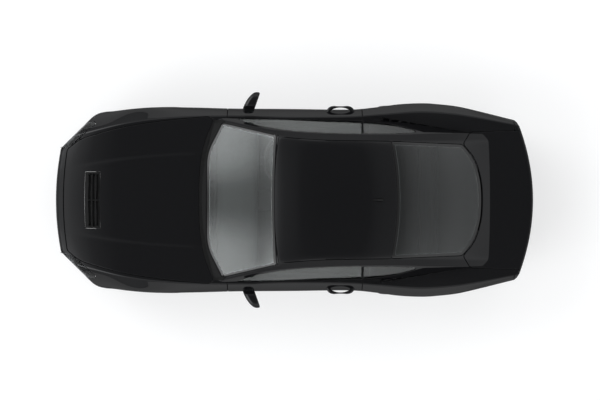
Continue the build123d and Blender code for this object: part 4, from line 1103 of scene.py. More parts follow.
def swept(name, path, radii, material, around=20, flat=1.0, rounds=3):
    # a round or oval tube carried along a path whose corners are cut at their quarters, round after round
    path, radii = np.array(path, float), np.array(radii if np.ndim(radii) else [radii] * len(path), float)
    for _ in range(rounds):
        q = np.hstack([path, radii[:, None]])
        quarters = np.stack([0.75 * q[:-1] + 0.25 * q[1:], 0.25 * q[:-1] + 0.75 * q[1:]], 1).reshape(-1, 4)
        q = np.vstack([q[:1], quarters, q[-1:]])
        path, radii = q[:, :3], q[:, 3]
    t = np.gradient(path, axis=0)
    t = t / np.maximum(np.linalg.norm(t, axis=1, keepdims=True), 1e-9)
    up = np.array([0, 0, 1.0]) if abs(t[:, 2]).max() < 0.95 else np.array([0, 1.0, 0])
    a = np.cross(t, up)
    a = a / np.maximum(np.linalg.norm(a, axis=1, keepdims=True), 1e-9)
    b = np.cross(a, t)
    turn = np.linspace(0, 2 * math.pi, around, endpoint=False)[None, :, None]
    rings = path[:, None] + radii[:, None, None] * (np.cos(turn) * a[:, None] + flat * np.sin(turn) * b[:, None])
    return capped(name, rings, path[[0, -1]], material)


def roundedBlock(name, low, high, material, power=6.0, steps=(28, 44), shape=None):
    # superellipsoid: each coordinate is a sine or cosine raised to 2 over the power, so a high power is boxy
    low, high = np.array(low, float), np.array(high, float)
    lat, lon = np.meshgrid(np.linspace(-math.pi / 2, math.pi / 2, steps[0]),
                           np.linspace(-math.pi, math.pi, steps[1], endpoint=False), indexing="ij")

    def raised(c):
        return np.sign(c) * np.abs(c) ** (2 / power)
    level = raised(np.cos(lat))
    unit = np.stack([level * raised(np.cos(lon)), level * raised(np.sin(lon)), raised(np.sin(lat))], axis=-1)
    points = (unit * (high - low) / 2 + (low + high) / 2).reshape(-1, 3)
    if shape is not None:
        points = shape(points)
    return outwards(meshObject(name, points, ringFaces(*lat.shape)[2], material))


def shaped(name, shape, material, power, steps):
    # a rounded block one metre each way, bent to its form by the shape
    return roundedBlock(name, (-0.5, -0.5, -0.5), (0.5, 0.5, 0.5), material, power, steps, shape)


def slab(name, outline, low, high, material, roll=0.006, axis="y", corner=0.015, shape=None):
    # an outline carried across the car (or up), its two rims rolled over a quarter circle, both ends closed
    line = roundedOutline(outline, corner) if corner else np.array(outline, float)
    edge = np.roll(line, -1, axis=0) - np.roll(line, 1, axis=0)
    inward = np.stack([-edge[:, 1], edge[:, 0]], axis=1) / np.maximum(np.linalg.norm(edge, axis=1, keepdims=True), 1e-9)
    area = (line[:, 0] * np.roll(line[:, 1], -1) - line[:, 1] * np.roll(line[:, 0], -1)).sum()
    inward = inward * (1 if area > 0 else -1)
    turn = np.linspace(0, math.pi / 2, 5)
    steps = [(roll * (1 - math.sin(t)), low + roll * (1 - math.cos(t))) for t in turn]
    middle = np.linspace(low + roll, high - roll, max(int((high - low) / 0.02), 2) + 1)[1:-1]
    steps += [(0.0, m) for m in middle] + [(roll * (1 - math.cos(t)), high - roll + roll * math.sin(t)) for t in turn]
    rings = []
    for pull, across in steps:
        flat = line + inward * pull
        three = np.stack([flat[:, 0], np.full(len(flat), across), flat[:, 1]], axis=1)
        rings.append(three if axis == "y" else three[:, [1, 0, 2]] if axis == "x" else three[:, [0, 2, 1]])
    points = np.vstack(rings)
    if shape is not None:
        points = shape(points)
    k, _, quads = ringFaces(len(rings), len(line))
    faces = quads.tolist() + [k[0].tolist(), k[-1][::-1].tolist()]
    return smoothByAngle(outwards(meshObject(name, points, faces, material)), 40)


def place(made, body, slotName, *nodes):
    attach(made, body)
    if nodes:
        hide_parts(*nodes)
    return made


def makeJambs(side, way):
    pieces = [slab(name, [(x, way * y) for x, y in outline], low, high, paint, 0.006, "z", 0.012)
              for name, (outline, low, high) in jambs.items()]
    place(joined("jambs." + side, pieces), "body", "body_paint")


bothSides(makeJambs)
plenumLine = [(-0.965, -0.60), (-0.965, 0.60), (-0.84, 0.79), (-0.785, 0.79), (-0.785, -0.79), (-0.84, -0.79)]
place(slab("cowl.plenum", plenumLine, 0.868, 0.873, trim, 0.001, "z", 0.01), "body", "black_trim")


# wheels
wheelSizes = {
    "front": {"x": car["frontAxleX"], "track": car["frontTrackHalf"], "radius": 0.343, "width": 0.255},
    "rear": {"x": car["rearAxleX"], "track": car["rearTrackHalf"], "radius": 0.351, "width": 0.275},
}
wheel = {"seat": 0.2413, "lip": 0.254, "grooves": (-0.062, -0.022, 0.022, 0.062), "grooveDepth": 0.006,
         "sipes": 60, "spokePairs": 5, "nuts": 5, "nutCircle": 0.052}


def tyre(name, x, y, radius, width):
    # the profile runs round the tyre's section; tread points sink into four round grooves and slanted sipes
    half = width / 2
    side = [(wheel["seat"], -half + 0.022), (0.252, -half + 0.013), (0.262, -half + 0.004), (0.276, -half + 0.001),
            (radius - 0.055, -half), (radius - 0.036, -half + 0.002), (radius - 0.020, -half + 0.009),
            (radius - 0.009, -half + 0.020), (radius - 0.004, -half + 0.032)]
    tread = [(radius - 0.003 * (2 * y0 / width) ** 2, y0) for y0 in np.linspace(-half + 0.036, half - 0.036, 74)]
    profile = np.array(side + tread + [(r, -a) for r, a in side[::-1]])
    around = 480
    a = np.linspace(0, 2 * math.pi, around, endpoint=False)
    r = np.repeat(profile[:, :1], around, 1)
    along = np.repeat(profile[:, 1:], around, 1)
    onTread = np.clip((r - radius + 0.008) / 0.004, 0, 1)
    ring = sum(np.clip((0.0052 - np.abs(along - g)) / 0.0016, 0, 1) for g in wheel["grooves"])
    phase = a[None, :] * wheel["sipes"] / (2 * math.pi) + np.abs(along) * 14
    sipe = np.clip((0.075 - np.abs(phase - np.round(phase))) / 0.05, 0, 1) * (np.abs(along) > 0.026)
    r = r - wheel["grooveDepth"] * onTread * np.clip(ring + 0.7 * sipe, 0, 1)
    points = np.stack([x + r * np.cos(a), y + along, radius + r * np.sin(a)], axis=-1).reshape(-1, 3)
    return smoothByAngle(outwards(meshObject(name, points, closedFaces(r.shape), rubber)), 32)


def spoke(angle, slant, x, y, z, way, half):
    # one arm of a pair: an oval section carried from the hub to the barrel, bowed outwards in the middle
    r = np.linspace(0.046, 0.236, 15)
    t = (r - r[0]) / (r[-1] - r[0])
    turn = angle + slant * (0.115 + 0.145 * t ** 1.1)
    out = half - 0.040 - 0.030 * (1 - t) ** 2 + 0.020 * np.sin(t * math.pi) - 0.012 * t ** 4
    wide = 0.0150 - 0.0035 * t + 0.006 * np.clip((t - 0.9) / 0.1, 0, 1)
    deep = 0.020 - 0.006 * t
    centre = np.stack([r * np.cos(turn), out, r * np.sin(turn)], axis=-1)
    along = np.gradient(centre, axis=0)
    along = along / np.linalg.norm(along, axis=1, keepdims=True)
    b = np.tile([0, 1.0, 0], (len(r), 1))
    b = b - (b * along).sum(1, keepdims=True) * along
    b = b / np.linalg.norm(b, axis=1, keepdims=True)
    a = np.cross(along, b)
    ang = np.linspace(0, 2 * math.pi, 20, endpoint=False)
    c, s = np.cos(ang), np.sin(ang)

    def boxy(q):
        return (np.sign(q) * np.abs(q) ** 0.6)[None, :, None]
    rings = (centre[:, None] + wide[:, None, None] * boxy(c) * a[:, None]
             + deep[:, None, None] * (boxy(s) - 0.6) * b[:, None])
    mirrorWay, hub = np.array([1, way, 1]), np.array([x, y, z])
    return capped("arm", rings * mirrorWay + hub, centre[[0, -1]] * mirrorWay + hub, alloy)


def rim(end, side, way):
    size = wheelSizes[end]
    x, y, z, half = size["x"], way * size["track"], size["radius"], size["width"] / 2
    barrelLine = [(0.2545, half - 0.006), (0.2545, half - 0.010), (0.248, half - 0.016), (0.2410, half - 0.024),
                  (0.2405, half - 0.060), (0.228, half - 0.075), (0.228, -half + 0.05), (0.2405, -half + 0.03),
                  (0.2545, -half + 0.010), (0.2545, -half + 0.004), (0.248, -half + 0.003), (0.236, -half + 0.008),
                  (0.222, -half + 0.055), (0.222, half - 0.080), (0.234, half - 0.058), (0.236, half - 0.016),
                  (0.246, half - 0.005)]
    discLine = [(0.030, half - 0.095), (0.030, half - 0.110), (0.088, half - 0.112), (0.092, half - 0.146),
                (0.178, half - 0.148), (0.178, half - 0.122), (0.106, half - 0.122), (0.104, half - 0.095)]
    hubLine = [(0.0, half - 0.040), (0.0, half - 0.052), (0.030, half - 0.094), (0.070, half - 0.094),
               (0.074, half - 0.070), (0.066, half - 0.054), (0.050, half - 0.048), (0.032, half - 0.044),
               (0.028, half - 0.036), (0.020, half - 0.034)]

    def flip(line):
        return [(r, way * a) for r, a in line]
    pieces = [turned("barrel", flip(barrelLine), (x, y, z), alloy, 128),
              turned("hub", flip(hubLine), (x, y, z), alloy, 64)]
    for k in range(wheel["spokePairs"]):
        for slant in (1, -1):
            pieces.append(spoke(math.pi / 2 + k * 2 * math.pi / wheel["spokePairs"], slant, x, y, z, way, half))
    for k in range(wheel["nuts"]):
        angle = math.pi / 2 + (k + 0.5) * 2 * math.pi / wheel["nuts"]
        nut = [(0.0, half - 0.050), (0.0, half - 0.066), (0.010, half - 0.066), (0.0095, half - 0.053),
               (0.006, half - 0.050)]
        seat = (x + wheel["nutCircle"] * math.cos(angle), y, z + wheel["nutCircle"] * math.sin(angle))
        pieces.append(turned("nut", flip(nut), seat, chromeSteel, 12))
    pieces.append(turned("disc", flip(discLine), (x, y, z), iron, 128))
    return joined(f"rim.{end}.{side}", pieces)


def makeWheels(side, way):
    for end in ("front", "rear"):
        size = wheelSizes[end]
        body = f"{end}_wheel_{side}"
        made = tyre(f"tyre.{end}.{side}", size["x"], way * size["track"], size["radius"], size["width"])
        place(made, body, "tyre_rubber", f"{end}_tyre_{side}")
        place(smoothByAngle(rim(end, side, way), 40), body, "alloy", f"{end}_rim_{side}")


bothSides(makeWheels)
print("wheels made")

# grille, lamps, plate, mirrors and small outer pieces
net = {"cell": 0.036, "bar": 0.0045, "depth": 0.016, "back": 0.030, "backing": 0.052, "sheet": 0.004}


def honeycomb(yHalf, zLow, zHigh):
    # a net of hexagon cells: each cell's rim runs between an outer and an inner hexagon and is carried back along
    # the car, following the face
    w, h = net["cell"], net["cell"] * 0.62
    rows, cols = int((zHigh - zLow) / (h * 0.75)) + 2, int(2 * yHalf / w) + 2
    j, i = np.meshgrid(np.arange(rows), np.arange(cols), indexing="ij")
    cy = -yHalf + (i + 0.5 * (j % 2)) * w
    cz = zLow + j * h * 0.75
    inside = (np.abs(cy) < yHalf - w * 0.2) & (cz < zHigh - h * 0.05)
    cy, cz = cy[inside], cz[inside]
    a = np.linspace(0, 2 * math.pi, 6, endpoint=False) + math.pi / 6
    outer = np.stack([w / math.sqrt(3) * np.cos(a), h / 2 * np.sin(a)], 1) * 1.03
    inner = outer * (1 - 2 * net["bar"] / w)
    rings = []
    for shape, deep in ((outer, 0.006), (inner * 1.04, 0.0), (inner, 0.003), (inner, net["depth"]),
                        (outer, net["depth"])):
        y, z = cy[:, None] + shape[None, :, 0], cz[:, None] + shape[None, :, 1]
        y, z = np.clip(y, -yHalf, yHalf), np.clip(z, zLow, zHigh)
        rings.append(np.stack([noseX(y, z) + net["back"] + deep, y, z], axis=-1))
    points = np.stack(rings, axis=1)
    faces = closedFaces(points.shape[:3])
    return meshObject("net", points.reshape(-1, 3), faces, trim, smooth=False)


def netBacking(yHalf, zLow, zHigh):
    y, z = np.meshgrid(np.arange(-yHalf, yHalf + yHalf / 48, yHalf / 24),
                       np.arange(zLow, zHigh + (zHigh - zLow) / 12, (zHigh - zLow) / 6), indexing="ij")
    x = noseX(y, z) + net["backing"]
    sheet = (np.stack([x, y, z], -1).reshape(-1, 3), np.tile([-1.0, 0, 0], (x.size, 1)), gridFaces(*x.shape), None)
    points, _, faces = closedShell([sheet], net["sheet"])
    return meshObject("backing", points, faces, seal)


nets = [honeycomb(0.474, 0.556, 0.680), honeycomb(0.404, 0.231, 0.334),
        netBacking(0.478, 0.552, 0.684), netBacking(0.408, 0.227, 0.338)]
grille = joined("grille.net", nets)
place(grille, "body", "black_trim", "grille")
barPath = [(noseX(np.array(y), np.array(0.632)) + 0.020, y, 0.632) for y in np.linspace(-0.462, 0.462, 13)]
midBar = swept("grille.bar", barPath, 0.0065, glossTrim, 16)
place(midBar, "body", "black_trim")


def liner(name, outline, face, way, depth, material, thick=0.003):
    # the wall of a pocket: the outline on the face is carried back along the car and closed by a floor
    y, z = outline.T
    rings = [np.stack([face(y, z) - way * back, y, z], 1) for back in (0.001, 0.004, depth * 0.5, depth)]
    n = len(outline)
    middle = rings[-1].mean(axis=0)
    for share in (0.66, 0.33):
        rings.append(middle + (rings[3] - middle) * share)
    points = np.vstack(rings + [middle[None]])
    k, nxt, quads = ringFaces(len(rings), n)
    fan = np.stack([k[-1], nxt[-1], np.full(n, len(points) - 1)], 1)
    made = meshObject(name, points, np.vstack([quads[:, [0, 1, 2]], quads[:, [0, 2, 3]], fan]), material)
    if thick:
        solid = made.modifiers.new("Solidify", "SOLIDIFY")
        solid.thickness, solid.offset = thick, 0
    return made


def boxOutline(y0, y1, z0, z1, r, n=5):
    a = np.linspace(0, math.pi / 2, n)
    corners = [((y1 - r, z1 - r), 0), ((y0 + r, z1 - r), 1), ((y0 + r, z0 + r), 2), ((y1 - r, z0 + r), 3)]
    return np.vstack([np.stack([cy + r * np.cos(a + q * math.pi / 2), cz + r * np.sin(a + q * math.pi / 2)], 1)
                      for (cy, cz), q in corners])


for name, box, corner in (("upper", (-0.4715, 0.4715, 0.5585, 0.6775), 0.031),
                          ("lower", (-0.4015, 0.4015, 0.2335, 0.3315), 0.021)):
    place(liner("intake." + name, boxOutline(*box, corner), noseX, -1, 0.055, trim), "body", "black_trim")

# head lamps: a clear lens flush with the nose over a dark housing with a light strip and two projectors
headLamp = {"glass": 0.003, "bucket": 0.030, "tipY": 0.735, "stripSet": 0.016, "eyes": (0.590, 0.650, 0.710),
            "eyeZ": (0.630, 0.660), "eyeHalf": 0.017, "eyeSet": 0.012, "eyeLong": 0.020}
lensSheet = outerSheet(lowerBody, -2.98, -1.90, vSteps((2, 3, 60), (3, 3.6, 30)), [lampPocket(1)])


def lampStrip(way, z, startY, radius):
    path = [(noseX(np.array(y), np.array(z)) + headLamp["stripSet"], way * y, z)
            for y in np.linspace(startY, headLamp["tipY"], 9)]
    return swept("strip", path, radius, lampWhite, 12)


def makeHeadLamp(side, way):
    lens = lensSheet if way > 0 else mirrored(lensSheet)
    p, n, f = closedShell([lens], headLamp["glass"])
    outer = meshObject("lens", p, f, lampGlass)
    half = len(p) // 2
    behind = (p[:half] - n[:half] * headLamp["bucket"], n[:half], lens[2], None)
    p, _, f = closedShell([behind], headLamp["glass"])
    bucket = meshObject("bucket", p, f, glossTrim)
    pieces = [outer, bucket, lampStrip(way, 0.672, 0.55, 0.0055), lampStrip(way, 0.617, 0.56, 0.0035)]
    for y in headLamp["eyes"]:
        x = float(noseX(np.array(y), np.array(0.645))) + headLamp["eyeSet"]
        low = (x, way * y - headLamp["eyeHalf"], headLamp["eyeZ"][0])
        high = (x + headLamp["eyeLong"], way * y + headLamp["eyeHalf"], headLamp["eyeZ"][1])
        pieces.append(roundedBlock("eye", low, high, lampWhite, 3.0, (16, 24)))
    return place(joined("lamp.head." + side, pieces), "body", "lamp_lens")


headLamps = [makeHeadLamp("right", 1), makeHeadLamp("left", -1)]
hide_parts("headlamps")


# tail lamps: three upright bars a side, red glass over a finned reflector
def tailLamp(y):
    line = boxOutline(y - 0.0295, y + 0.0295, 0.8505, 0.9595, 0.009)
    lens = slab("lens", [(a, b) for a, b in line], 0.0, 0.010, lampRed, 0.003, "x", 0)
    co = np.empty(len(lens.data.vertices) * 3)
    lens.data.vertices.foreach_get("co", co)
    co = co.reshape(-1, 3)
    across, up = co[:, 1].copy(), co[:, 2].copy()
    co[:, 0] = tailX(across, up) - 0.0135 + co[:, 0] + 0.0015 * np.cos((up - 0.85) * 2 * math.pi / 0.0109)
    lens.data.vertices.foreach_set("co", co.ravel())
    lens.data.update()
    return outwards(lens)


tailPieces = [tailLamp(way * y) for way in (1, -1) for y in rearLamps["rows"]]
tailPieces += [liner("pocket", boxOutline(way * y - 0.0305, way * y + 0.0305, 0.8495, 0.9605, 0.009), tailX, 1, 0.020,
                     glossTrim, 0) for way in (1, -1) for y in rearLamps["rows"]]
tailLamps = joined("lamp.tail", tailPieces)
place(tailLamps, "body", "red_lens", "tail_lamps")

blank = slab("plate.blank", boxOutline(*plate["blank"], 0.006), plate["rearX"], plate["frontX"], plateWhite, 0.0012,
             "x", 0)
place(blank, "body", "white_plate", "number_plate")
seatBack = liner("plate.seat", boxOutline(*plate["seat"], 0.007), tailX, 1, 0.030, trim)
place(seatBack, "body", "black_trim")

mirror = {"rootY": 0.868, "tipY": 1.082, "rootX": -0.450, "sweep": 0.088, "long": 0.148, "z": 0.990, "tall": 0.116}


def makeMirror(side, way):
    # one swept body: a flat broad root at the door that opens out into the housing, cut off behind by the glass
    def reach(t):
        across = way * (mirror["rootY"] + (mirror["tipY"] - mirror["rootY"]) * t)
        return mirror["rootX"] + mirror["sweep"] * t ** 1.2, across, mirror["long"] * (1 - 0.34 * t ** 2.2)

    def housing(p):
        x, y, long = reach(p[:, 1] + 0.5)
        t = p[:, 1] + 0.5
        tall = mirror["tall"] * (0.24 + 0.76 * smoothStep((t - 0.16) / 0.24)) * (1 - 0.16 * t ** 2)
        z = mirror["z"] - 0.030 * (1 - smoothStep(t / 0.4)) + p[:, 2] * tall
        return np.stack([x + np.minimum(p[:, 0], 0.30 + (p[:, 0] - 0.30) * 0.15) * long, y, z], axis=1)

    def mirrorGlass(p):
        t = (p[:, 1] + 0.5) * 0.56 + 0.37
        x, y, long = reach(t)
        tall = mirror["tall"] * (1 - 0.16 * t ** 2) * 0.76
        return np.stack([x + 0.318 * long + p[:, 0] * 0.006, y, mirror["z"] + p[:, 2] * tall], 1)
    pieces = [shaped("shell", housing, paint, 3.0, (64, 96)), shaped("glass", mirrorGlass, screen, 6.0, (24, 48))]
    place(joined("mirror.housing." + side, pieces), side + "_door", "body_paint", "mirror_" + side)


bothSides(makeMirror)


handle = {"z": 0.777, "front": 0.346, "rear": 0.604, "out": 0.938, "thin": 0.0068, "thick": 0.0190}


def makeHandle(side, way):
    # a pull bowed out from the door skin: thick ends, and a light gap behind the middle of its bar
    z, front, rear, out = handle["z"], handle["front"], handle["rear"], handle["out"]
    path = [(front, way * (sideY(front, z) - 0.010), z), (front + 0.022, way * (out - 0.016), z),
            (front + 0.062, way * (out - 0.003), z), (front + 0.100, way * out, z), (rear - 0.100, way * out, z),
            (rear - 0.062, way * (out - 0.003), z), (rear - 0.022, way * (out - 0.016), z),
            (rear, way * (sideY(rear, z) - 0.010), z)]
    thin, thick = handle["thin"], handle["thick"]
    bar = swept("door.handle." + side, path, [thick, thick, 0.8 * thick, thin, thin, 0.8 * thick, thick, thick], paint,
                20, 1.2)
    place(bar, side + "_door", "body_paint")


def sideY(x, z):
    # half width of the body's side arc at a height
    v = np.linspace(2, 3, 400)
    y, zz = bodySection(np.full(400, x), v)
    return float(np.interp(z, zz, y))


bothSides(makeHandle)


def finShape(p):
    # a fin that rises and widens towards its square rear end, its foot following the roof
    t, run = np.clip(p[:, 2] + 0.5, 0, 1), p[:, 0] + 0.5
    x = 0.757 + 0.137 * (run + 0.25 * t * (1 - run))
    y = p[:, 1] * 0.076 * (0.06 + 0.94 * run ** 0.85) * (1 - 0.78 * t ** 0.7)
    return np.stack([x, y, houseTopZ(x, y) - 0.004 + (0.012 + 0.030 * run) * t], axis=1)


place(shaped("antenna.fin", finShape, glossTrim, 2.6, (40, 56)), "body", "body_paint", "antenna_fin")
print("lamps and small outer pieces made")


# cabin
def ridge(x, centre, width):
    # a bell curve
    return np.exp(-((x - centre) / width) ** 2)


def placePads(pads, node):
    for pad in pads:
        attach(pad, "body")
    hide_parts(node)


def leatherSeat(side, way):
    # cushion, backrest and head rest as crowned pads with side bolsters and sewn channels
    y0 = way * 0.420

    def sewn(along, across, edge, seams):
        inner = sum(ridge(along, seam, 0.020) for seam in seams)
        return ridge(np.abs(across), edge, 0.018) + 0.7 * inner * (np.abs(across) < edge)

    def cushionShape(p):
        a, b, c = p.T
        bolster = np.clip((np.abs(b) - 0.27) / 0.16, 0, 1)
        channel = sewn(a, b, 0.27, (-0.2, 0.0, 0.2))
        top = np.clip(c * 3 + 0.2, 0, 1)
        lift = top * (0.030 * bolster - 0.008 * channel + 0.012 * (1 - (a / 0.5) ** 2))
        return np.stack([0.315 + a * 0.560, y0 + b * 0.500, 0.330 + c * 0.170 + lift - 0.07 * (a * 0.5)], axis=1)

    def backShape(p):
        a, b, c = p.T
        bolster = np.clip((np.abs(b) - 0.25) / 0.17, 0, 1)
        channel = sewn(c, b, 0.25, (-0.25, -0.08, 0.09, 0.26))
        face = np.clip(-a * 3 + 0.2, 0, 1)
        narrow = 1 - 0.16 * np.clip(c, 0, 0.5) * 2
        x = 0.705 + 0.26 * c + a * 0.135 - face * (0.040 * bolster - 0.008 * channel)
        return np.stack([x, y0 + b * 0.480 * narrow, 0.665 + c * 0.640], axis=1)

    def headShape(p):
        a, b, c = p.T
        return np.stack([0.862 + 0.05 * c + a * 0.100, y0 + b * 0.250 * (1 - 0.1 * c), 1.075 + c * 0.170], axis=1)
    placePads([shaped("seat.cushion." + side, cushionShape, leather, 4.5, (90, 120)),
               shaped("seat.back." + side, backShape, leather, 4.5, (110, 120)),
               shaped("seat.head." + side, headShape, leather, 3.2, (48, 60))], "front_seat_" + side)
    frames = [swept("post", [(0.834, y0 + s * 0.055, 0.93), (0.850, y0 + s * 0.055, 1.01)], 0.006, chromeSteel, 12)
              for s in (1, -1)]
    frames.append(slab("base", [(0.09, 0.245), (0.07, 0.300), (0.55, 0.265), (0.60, 0.42), (0.64, 0.42), (0.63, 0.235)],
                       y0 - 0.20, y0 + 0.20, softPlastic, 0.012))
    frames += [slab("rail", [(0.10, 0.196), (0.10, 0.240), (0.52, 0.240), (0.52, 0.196)], y0 + s * 0.185 - 0.015,
                    y0 + s * 0.185 + 0.015, steel, 0.004) for s in (1, -1)]
    place(joined("seat.frame." + side, frames), "body", "chassis_steel")


bothSides(leatherSeat)


def rearPad(along, across, seams):
    # the dished places of the two rear seats, and the channels sewn beside and along them
    channel = ridge(np.abs(across), 0.07, 0.010) + 0.6 * sum(ridge(along, seam, 0.02) for seam in seams)
    return ridge(np.abs(across), 0.26, 0.12), channel


def rearCushion(p):
    a, b, c = p.T
    dish, channel = rearPad(a, b, (-0.15, 0.1))
    sink = np.clip(c * 3 + 0.2, 0, 1) * (0.024 * dish + 0.007 * channel)
    return np.stack([1.090 + a * 0.380, b * 1.140, 0.435 + 0.05 * a + c * 0.135 - sink], axis=1)


def rearBack(p):
    a, b, c = p.T
    dish, channel = rearPad(c, b, (-0.2, 0.0, 0.2))
    sink = np.clip(-a * 3 + 0.2, 0, 1) * (0.020 * dish + 0.006 * channel)
    return np.stack([1.345 + 0.11 * c + a * 0.090 + sink, b * 1.120, 0.705 + c * 0.450], axis=1)


placePads([shaped("rearSeat.cushion", rearCushion, leather, 4.5, (80, 220)),
           shaped("rearSeat.back", rearBack, leather, 4.5, (90, 220))], "rear_seat")

# dashboard, console and steering wheel
dashLine = np.array([(-775, 620), (-775, 895), (-700, 922), (-500, 930), (-385, 915), (-352, 880), (-372, 800),
                     (-420, 745), (-470, 610)]) * 0.001


def dashShape(p):
    # the top swells over the instruments in front of the driver, and the face hollows between the vents
    hood = np.exp(-((p[:, 1] - 0.400) / 0.170) ** 2)
    top = np.clip((p[:, 2] - 0.84) / 0.08, 0, 1)
    p[:, 2] += 0.022 * hood * top * np.clip((p[:, 0] + 0.66) / 0.1, 0, 1)
    p[:, 0] += 0.030 * hood * top * np.clip((p[:, 0] + 0.50) / 0.1, 0, 1)
    p[:, 0] -= 0.020 * np.clip((np.abs(p[:, 1]) - 0.60) / 0.14, 0, 1) * np.clip((p[:, 0] + 0.5) / 0.1, 0, 1)
    return p


steering = {"tilt": 25.0, "radius": 0.178, "armReach": 0.168}
wheelCentre, tilt = np.array([-0.205, 0.400, 0.860]), math.radians(steering["tilt"])
columnAxis = np.array([math.cos(tilt), 0, math.sin(tilt)])
dashPieces = [slab("dash", dashLine, -0.742, 0.742, softPlastic, 0.014, "y", 0.025, dashShape)]
for y in (-0.62, -0.16, 0.16, 0.62):
    for z in 0.822 + 0.012 * np.arange(5):
        fin = [(-0.374, z), (-0.364, z + 0.003), (-0.374, z + 0.004)]
        dashPieces.append(slab("fin", fin, y - 0.060, y + 0.060, glossTrim, 0.001, "y", 0))
for name, line, y0, y1 in (
        ("screen", [(-0.372, 0.835), (-0.360, 0.900), (-0.352, 0.898), (-0.364, 0.833)], -0.085, 0.085),
        ("cluster", [(-0.352, 0.868), (-0.338, 0.925), (-0.332, 0.923), (-0.346, 0.866)], 0.290, 0.510)):
    dashPieces.append(slab(name, line, y0, y1, screen, 0.001, "y", 0))
near, middle, far = [wheelCentre - columnAxis * back for back in (0.0253, 0.14, 0.23)]
dashPieces.append(swept("column", [near, (near + far) / 2, far], 0.020, softPlastic, 24))
dashPieces.append(swept("shroud", [wheelCentre - columnAxis * 0.050, middle, far], [0.040, 0.046, 0.05],
                        softPlastic, 28))
place(joined("dash.board", dashPieces), "body", "dash_plastic", "dashboard")
consoleLine = np.array([(-478, 330), (-478, 598), (-360, 620), (-150, 505), (120, 480), (180, 510), (520, 512),
                        (548, 480), (560, 330)]) * 0.001
consolePieces = [
    slab("console", consoleLine, -0.110, 0.110, softPlastic, 0.016, "y", 0.03),
    roundedBlock("knob", (-0.075, -0.024, 0.575), (-0.015, 0.024, 0.625), leather, 2.4, (20, 28)),
    swept("stick", [(-0.030, 0, 0.485), (-0.040, 0, 0.54), (-0.045, 0, 0.585)], [0.020, 0.008, 0.006], softPlastic, 16),
    roundedBlock("rest", (0.17, -0.085, 0.500), (0.52, 0.085, 0.545), leather, 5, (24, 36))]
place(joined("console.tunnel", consolePieces), "body", "dash_plastic", "centre_console")


def steeringRing():
    # a ring whose section thickens at the grips, on an axis that leans back by the column's tilt
    a, b = np.meshgrid(np.linspace(0, 2 * math.pi, 120, endpoint=False),
                       np.linspace(0, 2 * math.pi, 20, endpoint=False), indexing="ij")
    thick = 0.0135 + 0.0018 * np.exp(-((np.abs(np.cos(a)) - 1) / 0.25) ** 2)
    r = steering["radius"] + thick * np.cos(b)
    local = np.stack([r * np.cos(a), r * np.sin(a), thick * np.sin(b)], axis=-1).reshape(-1, 3)
    right, up = np.array([0, 1.0, 0]), np.cross(columnAxis, [0, 1.0, 0])
    points = wheelCentre + local[:, :1] * right + local[:, 1:2] * up + local[:, 2:] * columnAxis
    pieces = [outwards(meshObject("ring", points, closedFaces(a.shape)[:, [0, 3, 2, 1]], leather))]

    def at(x, y, z):
        return wheelCentre + x * right + y * up + z * columnAxis
    low, reach = -1 if up[2] > 0 else 1, steering["armReach"]
    for way in (1, -1):
        pieces.append(swept("arm", [at(0, 0, -0.012), at(way * 0.09, 0.0, -0.014), at(way * reach, 0.0, 0.0)],
                            [0.030, 0.017, 0.012], softPlastic, 20, 0.5))
    pieces.append(swept("arm", [at(0, 0, -0.014), at(0, low * 0.09, -0.016), at(0, low * reach, 0.0)],
                        [0.028, 0.015, 0.011], softPlastic, 20, 0.5))
    pieces.append(swept("hub", [at(0, 0, z) for z in (-0.045, -0.020, 0.0, 0.006)], [0.040, 0.055, 0.052, 0.030],
                        softPlastic, 40))
    return joined("steering.wheel", pieces)


place(steeringRing(), "steering", "wheel_leather", "steering_wheel")
print("cabin made")

# finishes of the parts that keep their own shape
kept = {
    "floor_pan": carpet, "radiator": castAlloy, "engine": castAlloy, "front_subframe": steel, "rear_axle": steel,
    "exhaust": exhaustSteel, "parcel_shelf": carpet, "knuckle_right": iron, "knuckle_left": iron,
}
for name, material in kept.items():
    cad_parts[name].data.materials.clear()
    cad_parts[name].data.materials.append(material)

# floor, light and camera
def floorFinish():
    # a pale matt floor; what the camera, mirrors and glass see of it is lifted to white, its shadow kept
    made, tree, shader = nodeTree("floorPale")
    noise, ramp = objectNoise(tree, 3), tree.nodes.new("ShaderNodeValToRGB")
    ramp.color_ramp.elements[0].color, ramp.color_ramp.elements[1].color = (0.49, 0.49, 0.49, 1), (0.50, 0.50, 0.50, 1)
    tree.links.new(noise.outputs["Fac"], ramp.inputs["Fac"])
    tree.links.new(ramp.outputs["Color"], shader.inputs["Base Color"])
    shader.inputs["Roughness"].default_value = 0.9
    shader.inputs["Specular IOR Level"].default_value = 0.0
    shader.inputs["Emission Color"].default_value = (1, 1, 1, 1)
    path, first, second, lift = [tree.nodes.new(kind) for kind in (
        "ShaderNodeLightPath", "ShaderNodeMath", "ShaderNodeMath", "ShaderNodeMath")]
    first.operation = second.operation = "MAXIMUM"
    lift.operation = "MULTIPLY"
    lift.inputs[1].default_value = 0.56
    tree.links.new(path.outputs["Is Camera Ray"], first.inputs[0])
    tree.links.new(path.outputs["Is Glossy Ray"], first.inputs[1])
    tree.links.new(first.outputs["Value"], second.inputs[0])
    tree.links.new(path.outputs["Is Transmission Ray"], second.inputs[1])
    tree.links.new(second.outputs["Value"], lift.inputs[0])
    tree.links.new(lift.outputs["Value"], shader.inputs["Emission Strength"])
    return made


floorMesh = meshObject("floor", np.array([(-30, -30, 0), (30, -30, 0), (30, 30, 0), (-30, 30, 0)], float),
                       np.array([[0, 1, 2], [0, 2, 3]]), floorFinish(), smooth=False)

